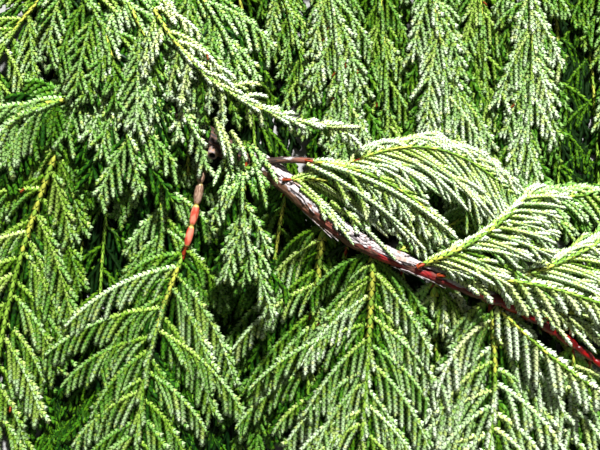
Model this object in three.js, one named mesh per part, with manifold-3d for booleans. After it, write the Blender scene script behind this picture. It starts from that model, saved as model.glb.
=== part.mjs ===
// A cut limb of nootka cypress, laid down flat: a woody stem, its side twigs, and the weeping
// sprays of scale leaves that hang from them.
// Millimetres. +Z is up, -Y is the way the sprays wept on the tree, and the limb runs towards +X.
// The origin is under the middle of the limb, on the surface that it lies on.
import * as THREE from "three";
import { mergeVertices } from "three/addons/utils/BufferGeometryUtils.js";
import Module from "manifold-3d";

const wasm = await Module();
wasm.setup();

// Driving dimensions
const weep = -90; // degrees in the plane: the way every shoot bends
const seatGap = 0.3; // left between a spray's stem and the wood that carries it
const facetAllowance = 0.05; // what the flat sides of two round limbs take off that gap
const seatShift = 2.5; // a spray leaves its limb this far above or below the limb's middle
const bladeThickness = 1.8;
const testThickness = bladeThickness + 1.4; // of the blade that looks for room
const stemHalf = { root: 1.2, tip: 0.7 }; // half the width of a spray's own stem
const stemSteps = 8;
const shoulder = 0.28; // share of a spray's length in which it climbs or sinks to its bed
const bedOverrun = 1.25; // how far past its stem's tip a spray's bed goes on rising or sinking
const cupping = 3.0; // how far a spray's sides lie below its stem
const firstLateral = 10; // from a spray's root
const lateralPitch = 10; // along a spray's stem, sides alternating
const lateralAngle = 48; // degrees from the stem
const lateralDroop = 0.5; // share of the way to straight down that a lateral bends
const sharpestBend = 42; // degrees, over a lateral's whole length
const lateralReach = { root: 0.66, rise: 1.5, fade: 0.6, fadePower: 1.6 }; // along a spray's stem
const terminalLength = 26; // the leafy end of a spray's stem
const stemIntoLeaves = 0.6; // share of that leafy end which the bare stem runs into
const longestFinger = 21;
const fingerShare = 0.42; // of its lateral's length
const fingerTaper = 0.75; // how much shorter the last finger on a lateral is
const upperFingerShare = 0.6; // fingers on a lateral's upper side are shorter
const teeth = { few: 2, many: 3, manyFrom: 46, upper: 1 }; // many on a lateral at least this long
const toothAngle = 28; // degrees from the lateral
const toothed = { from: 0.04, to: 0.9 }; // the share of a lateral that carries teeth
const bladeHalf = { root: 1.1, tip: 0.8 }; // half a lateral's width between its teeth
const jitter = { place: 0.1, length: 0.12 }; // how much a lateral varies
const sameNumber = 1e-6;
const weldTolerance = 1e-4;
const cleanTolerance = 0.05;
const smallestHole = 0.4; // square millimetres: a smaller hole in a blade is filled

const barkColour = 0x8d7f76;
const twigColour = 0x9a6a3c;
const leafColour = 0x4f8a3f;
const barkRoughness = 0.85;
const leafRoughness = 0.6;

// The wood. Each limb passes through its points and tapers from thick to thin.
const limbs = {
  main_stem: {
    through: [
      [-117, 126, 8.8],
      [-104, 99, 11],
      [-81, 70, 15],
      [-43, 40.5, 21],
      [-13, 24, 27],
      [22, -5, 31],
      [62, -23, 31.5],
      [103, -40.5, 29],
      [142, -67, 22],
    ],
    thick: 6.2,
    thin: 1.2,
    taper: 1.6,
    sides: 12,
    steps: 28,
  },
  upper_bough: {
    from: { limb: "main_stem", x: -111 },
    through: [
      [-98, 114, 10],
      [-76, 117, 12],
      [-30, 119, 13],
      [40, 118, 12.5],
      [100, 119, 11],
      [140, 117, 9],
    ],
    thick: 3.3,
    thin: 1.1,
    taper: 1.0,
    sides: 8,
    steps: 24,
  },
  far_left_twig: {
    from: { limb: "main_stem", x: -85 },
    through: [
      [-92, 65, 15],
      [-99, 56, 17],
      [-107, 45, 17],
    ],
    thick: 1.9,
    thin: 1.35,
    taper: 1.0,
    sides: 8,
    steps: 10,
  },
  left_twig: {
    from: { limb: "main_stem", x: -43 },
    through: [
      [-44.5, 26, 22],
      [-47.5, 8, 20],
      [-52, -10, 18],
    ],
    thick: 1.9,
    thin: 1.35,
    taper: 1.0,
    sides: 8,
    steps: 12,
  },
  side_twig: {
    from: { limb: "main_stem", x: -19 },
    through: [
      [-12, 28.8, 31],
      [0, 29, 34],
      [19, 26.5, 35],
    ],
    thick: 1.7,
    thin: 1.3,
    taper: 1.0,
    sides: 8,
    steps: 10,
  },
};

// The sprays, front ones first. Each leaves its limb at x, or at the limb's tip, turns from one
// heading to the other in degrees, and lies on a bed of the two heights, near and far. Its longest
// side shoots are as long as it is wide.
const sprays = {
  center_spray: { limb: "main_stem", x: -24, turn: [-96, -66], long: 62, wide: 32, bed: [38, 35] },
  arching_spray: { limb: "upper_bough", x: -76, turn: [-64, -8], long: 134, wide: 34, bed: [31, 41] },
  upper_fan: { limb: "side_twig", turn: [22, -44], long: 84, wide: 50, bed: [40, 36] },
  middle_fan: { limb: "main_stem", x: -8, turn: [2, -44], long: 74, wide: 40, bed: [33, 32] },
  right_spray_near: { limb: "main_stem", x: 52, turn: [22, 46], long: 62, wide: 48, bed: [41, 44] },
  right_spray_far: { limb: "main_stem", x: 77, turn: [14, 38], long: 94, wide: 58, bed: [33, 32] },
  right_spray_front: { limb: "main_stem", x: 61, turn: [-2, -24], long: 96, wide: 36, bed: [39, 36] },
  right_spray_low: { limb: "main_stem", x: 107, turn: [14, -20], long: 58, wide: 46, bed: [28, 24] },
  tip_spray: { limb: "main_stem", turn: [-36, -66], long: 52, wide: 46, bed: [21, 15] },
  hanging_spray_4: { limb: "main_stem", x: 86, turn: [-84, -100], long: 86, wide: 64, bed: [25, 21] },
  hanging_spray_2: { limb: "main_stem", x: 33, turn: [-92, -95], long: 100, wide: 70, bed: [26, 21] },
  hanging_spray_5: { limb: "main_stem", x: 124, turn: [-86, -104], long: 66, wide: 56, bed: [19, 15] },
  hanging_spray_1: { limb: "main_stem", x: 11, turn: [-96, -94], long: 94, wide: 62, bed: [20, 15] },
  hanging_spray_3: { limb: "main_stem", x: 60, turn: [-84, -92], long: 90, wide: 54, bed: [14, 10] },
  upper_spray_2: { limb: "upper_bough", x: -86, turn: [-62, -64], long: 90, wide: 52, bed: [26.5, 25.5] },
  upper_spray_1: { limb: "upper_bough", x: -96, turn: [-76, -78], long: 94, wide: 52, bed: [21, 23] },
  upper_spray_3: { limb: "upper_bough", x: -56, turn: [-52, -66], long: 62, wide: 40, bed: [20, 26] },
  upper_spray_4: { limb: "main_stem", x: -114, turn: [-40, -84], long: 66, wide: 44, bed: [24, 27] },
  left_inner_spray: { limb: "main_stem", x: -76, turn: [-74, -92], long: 96, wide: 50, bed: [12, 11] },
  left_side_spray: { limb: "far_left_twig", x: -97, turn: [-172, -124], long: 62, wide: 40, bed: [22, 19] },
  left_low_spray: { limb: "left_twig", turn: [-112, -94], long: 106, wide: 68, bed: [19, 13] },
  far_left_spray: { limb: "far_left_twig", turn: [-112, -97], long: 150, wide: 62, bed: [15, 10] },
  left_top_spray: { limb: "main_stem", x: -111, turn: [-136, -96], long: 84, wide: 50, bed: [13, 15] },
  lower_middle_spray: { limb: "main_stem", x: -6, turn: [-100, -92], long: 122, wide: 54, bed: [10, 8] },
  right_back_spray_1: { limb: "main_stem", x: 40, turn: [28, 2], long: 108, wide: 46, bed: [23, 16] },
  right_back_spray_2: { limb: "main_stem", x: 88, turn: [14, -16], long: 66, wide: 40, bed: [18, 14] },
  top_spray_1: { limb: "upper_bough", x: -14, turn: [-66, -86], long: 70, wide: 34, bed: [13, 11] },
  top_spray_2: { limb: "upper_bough", x: 12, turn: [-80, -88], long: 90, wide: 42, bed: [16, 15] },
  top_spray_3: { limb: "upper_bough", x: 36, turn: [-84, -90], long: 94, wide: 42, bed: [11, 10] },
  top_spray_4: { limb: "upper_bough", x: 58, turn: [-78, -90], long: 102, wide: 44, bed: [16, 15] },
  top_spray_5: { limb: "upper_bough", x: 82, turn: [-84, -92], long: 106, wide: 44, bed: [11, 10] },
  top_spray_6: { limb: "upper_bough", x: 106, turn: [-88, -98], long: 102, wide: 44, bed: [16, 15] },
  top_spray_7: { limb: "upper_bough", turn: [-70, -92], long: 118, wide: 44, bed: [11, 10] },
  low_spray_1: { limb: "main_stem", x: -99, turn: [-92, -90], long: 192, wide: 60, bed: [5, 4] },
  low_spray_2: { limb: "main_stem", x: -51, turn: [-92, -87], long: 142, wide: 60, bed: [5, 4] },
  low_spray_3: { limb: "main_stem", x: 22, turn: [-100, -88], long: 106, wide: 54, bed: [5, 4] },
  low_spray_4: { limb: "main_stem", x: 46, turn: [-84, -88], long: 92, wide: 52, bed: [5, 4] },
  low_spray_5: { limb: "main_stem", x: 97, turn: [-92, -90], long: 74, wide: 50, bed: [5, 4] },
  low_spray_6: { limb: "main_stem", x: -81, turn: [-99, -90], long: 160, wide: 50, bed: [8, 7.5] },
  low_spray_7: { limb: "main_stem", x: 132, turn: [-86, -90], long: 74, wide: 46, bed: [8, 7] },
  low_top_spray_1: { limb: "upper_bough", x: -36, turn: [-78, -86], long: 66, wide: 44, bed: [5, 4] },
  low_top_spray_2: { limb: "upper_bough", x: 24, turn: [-84, -90], long: 96, wide: 48, bed: [5, 4] },
  low_top_spray_3: { limb: "upper_bough", x: 70, turn: [-86, -90], long: 108, wide: 48, bed: [5, 4] },
  low_top_spray_4: { limb: "upper_bough", x: 118, turn: [-86, -92], long: 112, wide: 50, bed: [5, 4] },
};

const degrees = THREE.MathUtils.degToRad;
const mix = THREE.MathUtils.lerp;

// A seeded row of numbers from 0 to 1, the same on every run.
function seededNumbers(seed) {
  let state = seed >>> 0;
  return () => {
    state = (state + 0x6d2b79f5) >>> 0;
    let hash = Math.imul(state ^ (state >>> 15), 1 | state);
    hash = (hash + Math.imul(hash ^ (hash >>> 7), 61 | hash)) ^ hash;
    return ((hash ^ (hash >>> 14)) >>> 0) / 4294967296;
  };
}

function seedOf(name) {
  return [...name].reduce((sum, letter) => (Math.imul(sum, 31) + letter.charCodeAt(0)) >>> 0, 7);
}

// Limbs

const halvings = 40; // of a limb's length, to find the place with a given x

function limbPointAtX(limb, x) {
  let low = 0;
  let high = 1;
  const rising = limb.curve.getPoint(1).x > limb.curve.getPoint(0).x;
  for (let i = 0; i < halvings; i++) {
    const middle = (low + high) / 2;
    const before = limb.curve.getPoint(middle).x < x;
    if (before === rising) low = middle;
    else high = middle;
  }
  return limb.curve.getPoint((low + high) / 2);
}

function limbCurve(limb) {
  const points = limb.through.map((place) => new THREE.Vector3(...place));
  if (limb.from) points.unshift(limbPointAtX(limbs[limb.from.limb], limb.from.x));
  return new THREE.CatmullRomCurve3(points, false, "catmullrom", 0.5);
}

function limbRadius(limb, t) {
  return limb.thin + (limb.thick - limb.thin) * (1 - t ** limb.taper);
}

// A capped tube round a curve, made by bending a cylinder along it. It can run past both ends.
function taperedTube(curve, radiusAt, sides, steps, overrun) {
  const tube = new THREE.CylinderGeometry(1, 1, 1, sides, steps);
  const place = tube.getAttribute("position");
  const up = new THREE.Vector3(0, 0, 1);
  for (let i = 0; i < place.count; i++) {
    const t = place.getY(i) + 0.5;
    const ahead = curve.getTangent(t);
    const across = new THREE.Vector3().crossVectors(up, ahead).normalize();
    const over = new THREE.Vector3().crossVectors(ahead, across);
    const point = curve.getPoint(t);
    if (t < sameNumber) point.addScaledVector(ahead, -overrun);
    if (t > 1 - sameNumber) point.addScaledVector(ahead, overrun);
    point.addScaledVector(across, place.getX(i) * radiusAt(t));
    point.addScaledVector(over, -place.getZ(i) * radiusAt(t));
    place.setXYZ(i, point.x, point.y, point.z);
  }
  return tube;
}

// Sprays

const stationCount = 40; // along a spray's stem

// The stem of a spray: its places in the plane, its headings, and the bed that the spray lies on.
function sprayAxis(spray) {
  const limb = limbs[spray.limb];
  const start = spray.x === undefined ? limb.curve.getPoint(1) : limbPointAtX(limb, spray.x);
  // A spray that lies lower than its limb leaves from below the limb's middle, a higher one above.
  const lift = THREE.MathUtils.clamp(spray.bed[0] - start.z, -seatShift, seatShift);
  if (spray.x !== undefined) start.z += lift;
  const stations = [];
  const step = spray.long / stationCount;
  const place = new THREE.Vector2(start.x, start.y);
  for (let i = 0; i <= stationCount; i++) {
    const turned = THREE.MathUtils.smoothstep(i / stationCount, 0, 1);
    const heading = mix(spray.turn[0], spray.turn[1], turned);
    stations.push({ place: place.clone(), heading });
    place.x += step * Math.cos(degrees(heading));
    place.y += step * Math.sin(degrees(heading));
  }
  const end = stations[stationCount].place;
  const chord = new THREE.Vector2().subVectors(end, stations[0].place);
  const reach = chord.length();
  chord.normalize();
  return { start, stations, chord, reach, spray };
}

function stationAt(axis, t) {
  const at = THREE.MathUtils.clamp(t, 0, 1) * stationCount;
  const first = Math.min(Math.floor(at), stationCount - 1);
  const share = at - first;
  const [a, b] = [axis.stations[first], axis.stations[first + 1]];
  return {
    place: new THREE.Vector2().lerpVectors(a.place, b.place, share),
    heading: mix(a.heading, b.heading, share),
  };
}

// The height of a spray's bed under a place in the plane.
function bedHeight(axis, x, y) {
  const [near, far] = axis.spray.bed;
  const dx = x - axis.start.x;
  const dy = y - axis.start.y;
  const forward = (dx * axis.chord.x + dy * axis.chord.y) / axis.reach;
  const along = THREE.MathUtils.clamp(forward, 0, bedOverrun);
  const aside = (dx * axis.chord.y - dy * axis.chord.x) / axis.spray.wide;
  const rise = THREE.MathUtils.smoothstep(along, 0, shoulder);
  const bed = mix(near, far, along);
  return mix(axis.start.z, bed, rise) - cupping * rise * Math.min(aside * aside, 1);
}

// The length of a side shoot, against the longest, by its place on the spray's stem.
function lateralEnvelope(t) {
  const { root, rise, fade, fadePower } = lateralReach;
  return Math.min(1, root + rise * t) * (1 - fade * t ** fadePower);
}

// The side shoots of a spray, in order from its root, and the leafy end of its own stem.
function lateralsOf(axis, random) {
  const { spray } = axis;
  const vary = (most) => 1 - most + 2 * most * random();
  const laterals = [];
  let side = random() < 0.5 ? 1 : -1;
  let along = firstLateral;
  while (along < spray.long - terminalLength / 2) {
    const station = stationAt(axis, along / spray.long);
    laterals.push({
      root: station.place,
      heading: station.heading + side * lateralAngle * vary(jitter.place),
      long: spray.wide * lateralEnvelope(along / spray.long) * vary(jitter.length),
    });
    along += lateralPitch * vary(jitter.place);
    side = -side;
  }
  const last = stationAt(axis, 1 - terminalLength / 2 / spray.long);
  laterals.push({ root: last.place, heading: last.heading, long: terminalLength });
  return laterals;
}

const lateralSteps = 8; // along a lateral's middle line

function degreesToWeep(heading) {
  return THREE.MathUtils.euclideanModulo(weep - heading + 180, 360) - 180;
}

// Place and heading on a lateral's middle line, which bends towards the weep.
function alongLateral(lateral, distance) {
  const wanted = degreesToWeep(lateral.heading) * lateralDroop;
  const bend = THREE.MathUtils.clamp(wanted, -sharpestBend, sharpestBend) / lateral.long;
  const place = lateral.root.clone();
  const step = distance / lateralSteps;
  for (let i = 0; i < lateralSteps; i++) {
    const heading = degrees(lateral.heading + bend * (i + 0.5) * step);
    place.x += step * Math.cos(heading);
    place.y += step * Math.sin(heading);
  }
  return { place, heading: lateral.heading + bend * distance };
}

function fingerLength(lateral, distance, lower) {
  const longest = Math.min(longestFinger, fingerShare * lateral.long);
  return longest * (1 - (fingerTaper * distance) / lateral.long) * (lower ? 1 : upperFingerShare);
}

function pointBeside(place, heading, distance) {
  const direction = degrees(heading);
  return new THREE.Vector2(
    place.x + distance * Math.cos(direction),
    place.y + distance * Math.sin(direction),
  );
}

// One edge of a lateral: a notch and a tooth in turn. Each tooth stands for several fingers.
function toothedEdge(lateral, side, count, lower) {
  const points = [];
  const notchAt = (share) => {
    const { place, heading } = alongLateral(lateral, share * lateral.long);
    points.push(pointBeside(place, heading + side * 90, mix(bladeHalf.root, bladeHalf.tip, share)));
  };
  const pitch = (toothed.to - toothed.from) / count;
  for (let i = 0; i < count; i++) {
    notchAt(toothed.from + pitch * i);
    const distance = lateral.long * (toothed.from + pitch * (i + 0.5));
    const { place, heading } = alongLateral(lateral, distance);
    const finger = fingerLength(lateral, distance, lower);
    points.push(pointBeside(place, heading + side * toothAngle, finger));
  }
  notchAt(toothed.to);
  return points;
}

function toothedOutline(lateral) {
  const lowerSide = Math.sign(degreesToWeep(lateral.heading)) || 1;
  const lowerTeeth = lateral.long < teeth.manyFrom ? teeth.few : teeth.many;
  const edge = (side) => {
    const lower = side === lowerSide;
    return toothedEdge(lateral, side, lower ? lowerTeeth : teeth.upper, lower);
  };
  const tip = alongLateral(lateral, lateral.long).place;
  return [...edge(-1), tip, ...edge(1).reverse()];
}

// The outline of a spray's stem, as far as its leafy end.
function stemOutline(axis) {
  const left = [];
  const right = [];
  const leafyFrom = 1 - (terminalLength * (1 - stemIntoLeaves)) / axis.spray.long;
  for (let i = 0; i <= stemSteps; i++) {
    const t = (leafyFrom * i) / stemSteps;
    const { place, heading } = stationAt(axis, t);
    const half = mix(stemHalf.root, stemHalf.tip, t);
    left.push(pointBeside(place, heading + 90, half));
    right.push(pointBeside(place, heading - 90, half));
  }
  return [...right, ...left.reverse()];
}

// A blade cut to its outline, flat.
function flatBlade(shape, thickness) {
  return new THREE.ExtrudeGeometry(shape, { depth: thickness, bevelEnabled: false });
}

// A blade laid on its spray's bed.
function bladeSolid(axis, shape, thickness) {
  const blade = flatBlade(shape, thickness);
  const place = blade.getAttribute("position");
  for (let i = 0; i < place.count; i++) {
    const height = bedHeight(axis, place.getX(i), place.getY(i));
    place.setZ(i, height + place.getZ(i) - thickness / 2);
  }
  return solidFrom(blade);
}

// Outlines joined in the plane: flat blades are joined, and the rim of the joined blade is walked.
function joinedShape(outlines) {
  const flatTop = 1;
  const blades = outlines.map((outline) => solidFrom(flatBlade(new THREE.Shape(outline), flatTop)));
  const joined = largestPiece(wasm.Manifold.union(blades).asOriginal().simplify(cleanTolerance));
  const { vertProperties: place, triVerts: corners } = joined.getMesh();
  const onTop = (corner) => place[3 * corner + 2] > flatTop / 2;
  const next = new Map();
  for (let i = 0; i < corners.length; i += 3) {
    const triangle = [corners[i], corners[i + 1], corners[i + 2]];
    if (!triangle.every(onTop)) continue;
    triangle.forEach((corner, k) => {
      const following = triangle[(k + 1) % 3];
      if (next.get(following)?.has(corner)) next.get(following).delete(corner);
      else next.set(corner, (next.get(corner) ?? new Set()).add(following));
    });
  }
  const loops = [];
  for (const [first, followers] of next) {
    while (followers.size > 0) {
      const loop = [];
      let corner = first;
      do {
        loop.push(new THREE.Vector2(place[3 * corner], place[3 * corner + 1]));
        const following = next.get(corner).values().next().value;
        next.get(corner).delete(following);
        corner = following;
      } while (corner !== first);
      loops.push(loop);
    }
  }
  const size = (loop) => Math.abs(THREE.ShapeUtils.area(loop));
  const [rim, ...holes] = loops.sort((a, b) => size(b) - size(a));
  const shape = new THREE.Shape(rim);
  shape.holes = holes
    .filter((hole) => size(hole) > smallestHole)
    .map((hole) => new THREE.Path(hole));
  return shape;
}

// Solids

function solidFrom(geometry) {
  const bare = geometry.index ? geometry.toNonIndexed() : geometry;
  const only = new THREE.BufferGeometry().setAttribute("position", bare.getAttribute("position"));
  const merged = mergeVertices(only, weldTolerance);
  return new wasm.Manifold(
    new wasm.Mesh({
      numProp: 3,
      vertProperties: merged.getAttribute("position").array,
      triVerts: new Uint32Array(merged.index.array),
    }),
  );
}

function geometryFrom(solid) {
  const mesh = solid.getMesh();
  return new THREE.BufferGeometry()
    .setAttribute("position", new THREE.BufferAttribute(new Float32Array(mesh.vertProperties), 3))
    .setIndex(new THREE.BufferAttribute(new Uint32Array(mesh.triVerts), 1));
}

function boxesMeet(a, b) {
  return [0, 1, 2].every((k) => a.min[k] < b.max[k] && b.min[k] < a.max[k]);
}

function touches(solid, others) {
  const box = solid.boundingBox();
  return others.some(
    (other) => boxesMeet(box, other.boundingBox()) && solid.intersect(other).volume() > 0,
  );
}

function largestPiece(solid) {
  return solid.decompose().sort((a, b) => b.volume() - a.volume())[0];
}

// Assembly

function limbTube(limb, grown) {
  const radiusAt = (t) => limbRadius(limb, t) + grown;
  return solidFrom(taperedTube(limb.curve, radiusAt, limb.sides, limb.steps, grown));
}

const limbSolids = {};
const limbEnvelopes = {}; // the wood with the seat's gap round it
for (const [name, limb] of Object.entries(limbs)) {
  limb.curve = limbCurve(limb);
  limbSolids[name] = limbTube(limb, 0);
  if (limb.from)
    limbSolids[name] = largestPiece(limbSolids[name].subtract(limbEnvelopes[limb.from.limb]));
  limbEnvelopes[name] = limbTube(limb, seatGap + facetAllowance);
}

const wood = Object.values(limbEnvelopes);
const axes = {};
const stems = {};
for (const [name, spray] of Object.entries(sprays)) {
  axes[name] = sprayAxis(spray);
  const stem = new THREE.Shape(stemOutline(axes[name]));
  const roomy = bladeSolid(axes[name], stem, testThickness);
  for (const other of Object.keys(stems))
    if (touches(roomy, [stems[other]])) console.error(`${name}: its stem meets ${other}'s`);
  stems[name] = bladeSolid(axes[name], stem, bladeThickness);
}

// Front sprays grow first, and a lateral that meets wood or another spray is left off.
const spraySolids = {};
for (const name of Object.keys(sprays)) {
  const axis = axes[name];
  const random = seededNumbers(seedOf(name));
  const others = Object.keys(sprays).filter((other) => other !== name);
  const taken = [...wood, ...others.map((other) => spraySolids[other] ?? stems[other])];
  const outlines = [stemOutline(axis)];
  let skipped = 0;
  for (const lateral of lateralsOf(axis, random)) {
    const outline = toothedOutline(lateral);
    const roomy = bladeSolid(axis, new THREE.Shape(outline), testThickness);
    if (touches(roomy, taken)) skipped += 1;
    else outlines.push(outline);
  }
  if (skipped > 0) console.error(`${name}: ${skipped} side shoots left off`);
  let mass = bladeSolid(axis, joinedShape(outlines), bladeThickness);
  for (const envelope of wood) mass = mass.subtract(envelope);
  spraySolids[name] = largestPiece(mass.simplify(cleanTolerance));
}

const limb = new THREE.Group();
const addSolid = (name, solid, colour, roughness) => {
  const material = new THREE.MeshStandardMaterial({ color: colour, roughness, metalness: 0 });
  const mesh = new THREE.Mesh(geometryFrom(solid), material);
  mesh.name = name;
  limb.add(mesh);
};
for (const [name, solid] of Object.entries(limbSolids))
  addSolid(name, solid, name === "main_stem" ? barkColour : twigColour, barkRoughness);
for (const [name, solid] of Object.entries(spraySolids))
  addSolid(name, solid, leafColour, leafRoughness);

const bounds = new THREE.Box3().setFromObject(limb);
const middle = bounds.getCenter(new THREE.Vector3());
limb.position.set(-middle.x, -middle.y, -bounds.min.z);

const part = new THREE.Group();
part.add(limb);
export default part;
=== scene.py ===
# A cut limb of nootka cypress, laid down flat: peeling bark, jointed twigs and the weeping
# sprays of scale leaves that hang from them.
import math

import bmesh
import bpy
import numpy as np
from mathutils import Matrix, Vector, noise


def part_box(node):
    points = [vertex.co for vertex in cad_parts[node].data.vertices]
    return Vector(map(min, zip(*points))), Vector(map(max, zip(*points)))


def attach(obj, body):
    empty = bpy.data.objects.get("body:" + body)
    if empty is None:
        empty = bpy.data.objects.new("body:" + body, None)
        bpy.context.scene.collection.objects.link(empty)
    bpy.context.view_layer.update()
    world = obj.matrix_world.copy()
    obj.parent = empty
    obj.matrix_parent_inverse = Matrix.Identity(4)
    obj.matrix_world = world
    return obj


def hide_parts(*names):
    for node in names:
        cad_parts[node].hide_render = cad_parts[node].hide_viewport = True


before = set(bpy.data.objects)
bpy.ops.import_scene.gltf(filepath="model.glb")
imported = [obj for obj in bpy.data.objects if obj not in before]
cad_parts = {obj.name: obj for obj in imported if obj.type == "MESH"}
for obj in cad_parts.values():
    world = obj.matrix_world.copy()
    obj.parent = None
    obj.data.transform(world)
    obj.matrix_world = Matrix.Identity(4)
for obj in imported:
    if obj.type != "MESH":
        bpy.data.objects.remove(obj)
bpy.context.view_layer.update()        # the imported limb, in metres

# Everything is drawn in millimetres, as the limb's source is, and moved to the frame when its
# mesh is made. The drawing's zero lies under the middle of the view, and -Y is the way of the weep.
millimetre = 0.001
growth = {
    "weep": -90,  # degrees
    "seatShift": 2.5,  # a spray leaves its limb this far above or below the limb's middle
    "stations": 40,  # along a spray's stem
    "shoulder": 0.28,  # share of a spray in which it climbs or sinks to its bed
    "bedUpTo": 1.25,  # of its length
    "cupping": 3.0,  # how far a spray's sides lie below its stem
    "firstLateral": 10,
    "lateralPitch": 10,
    "lateralAngle": 48,
    "lateralReach": dict(root=0.66, rise=1.5, fade=0.6, fadePower=1.6),  # along a spray's stem
    "terminalLength": 26,
    "stemShort": 0.4,  # of that: how far a stem ends before its spray
    "endsOver": (0.2, 0.8),  # shares of a spray between which its own ends tells
    "jitter": 0.1,
    "lengthJitter": 0.12,
}

limbs = {
    "main_stem": dict(
        through=[
            (-117, 126, 8.8), (-104, 99, 11), (-81, 70, 15), (-43, 40.5, 21), (-13, 24, 27),
            (22, -5, 31), (62, -23, 31.5), (103, -40.5, 29), (142, -67, 22),
        ],
        thick=6.2, thin=1.2, taper=1.6, sides=12, steps=28,
    ),
    "upper_bough": dict(
        carrier=("main_stem", -111),
        through=[
            (-98, 114, 10), (-76, 117, 12), (-30, 119, 13), (40, 118, 12.5), (100, 119, 11), (140, 117, 9),
        ],
        thick=3.3, thin=1.1, taper=1.0,
    ),
    "far_left_twig": dict(
        carrier=("main_stem", -85),
        through=[(-92, 65, 15), (-99, 56, 17), (-107, 45, 17)],
        thick=1.9, thin=1.35, taper=1.0,
    ),
    "left_twig": dict(
        carrier=("main_stem", -43),
        through=[(-44.5, 26, 22), (-47.5, 8, 20), (-52, -10, 18)],
        thick=1.9, thin=1.35, taper=1.0,
    ),
    "side_twig": dict(
        carrier=("main_stem", -19),
        through=[(-12, 28.8, 31), (0, 29, 34), (19, 26.5, 35)],
        thick=1.7, thin=1.3, taper=1.0,
    ),
}

commonLook = {  # of a spray whose own row says nothing else
    "size": 1.0,  # of its shoots
    "plump": 1.0,  # how thick they are
    "stout": 1.0,  # how thick its stem is
    "fingers": 1.0,  # how long they are
    "apart": 1.0,  # how far apart they stand
    "straight": 1.0,  # where it is less, they bend less and more of them stand on the upper side
    "wider": 9,  # degrees that its side shoots stand out further than the source's
    "ends": 1.0,  # what is left of their length at its end
    "paired": 1.0,  # the share of them that have another across
    "bare": 0.3,  # the share of its stem that no finger lies over
    "over": False,  # whether it passes over the main stem where the two cross
}


# A spray's limb and the X where it leaves it, or None at the limb's tip, its headings at its root and
# tip, its length and width, the height of its bed near and far, the light that it gets, from 0 in
# deep shade to 1 in full sun, and how warm its green is.
def sprayOn(limb, x, turn, long, wide, bed, light, warm, **look):
    own = dict(limb=limb, x=x, turn=turn, long=long, wide=wide, bed=bed, light=light, warm=warm)
    return {**commonLook, **own, **look}


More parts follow.
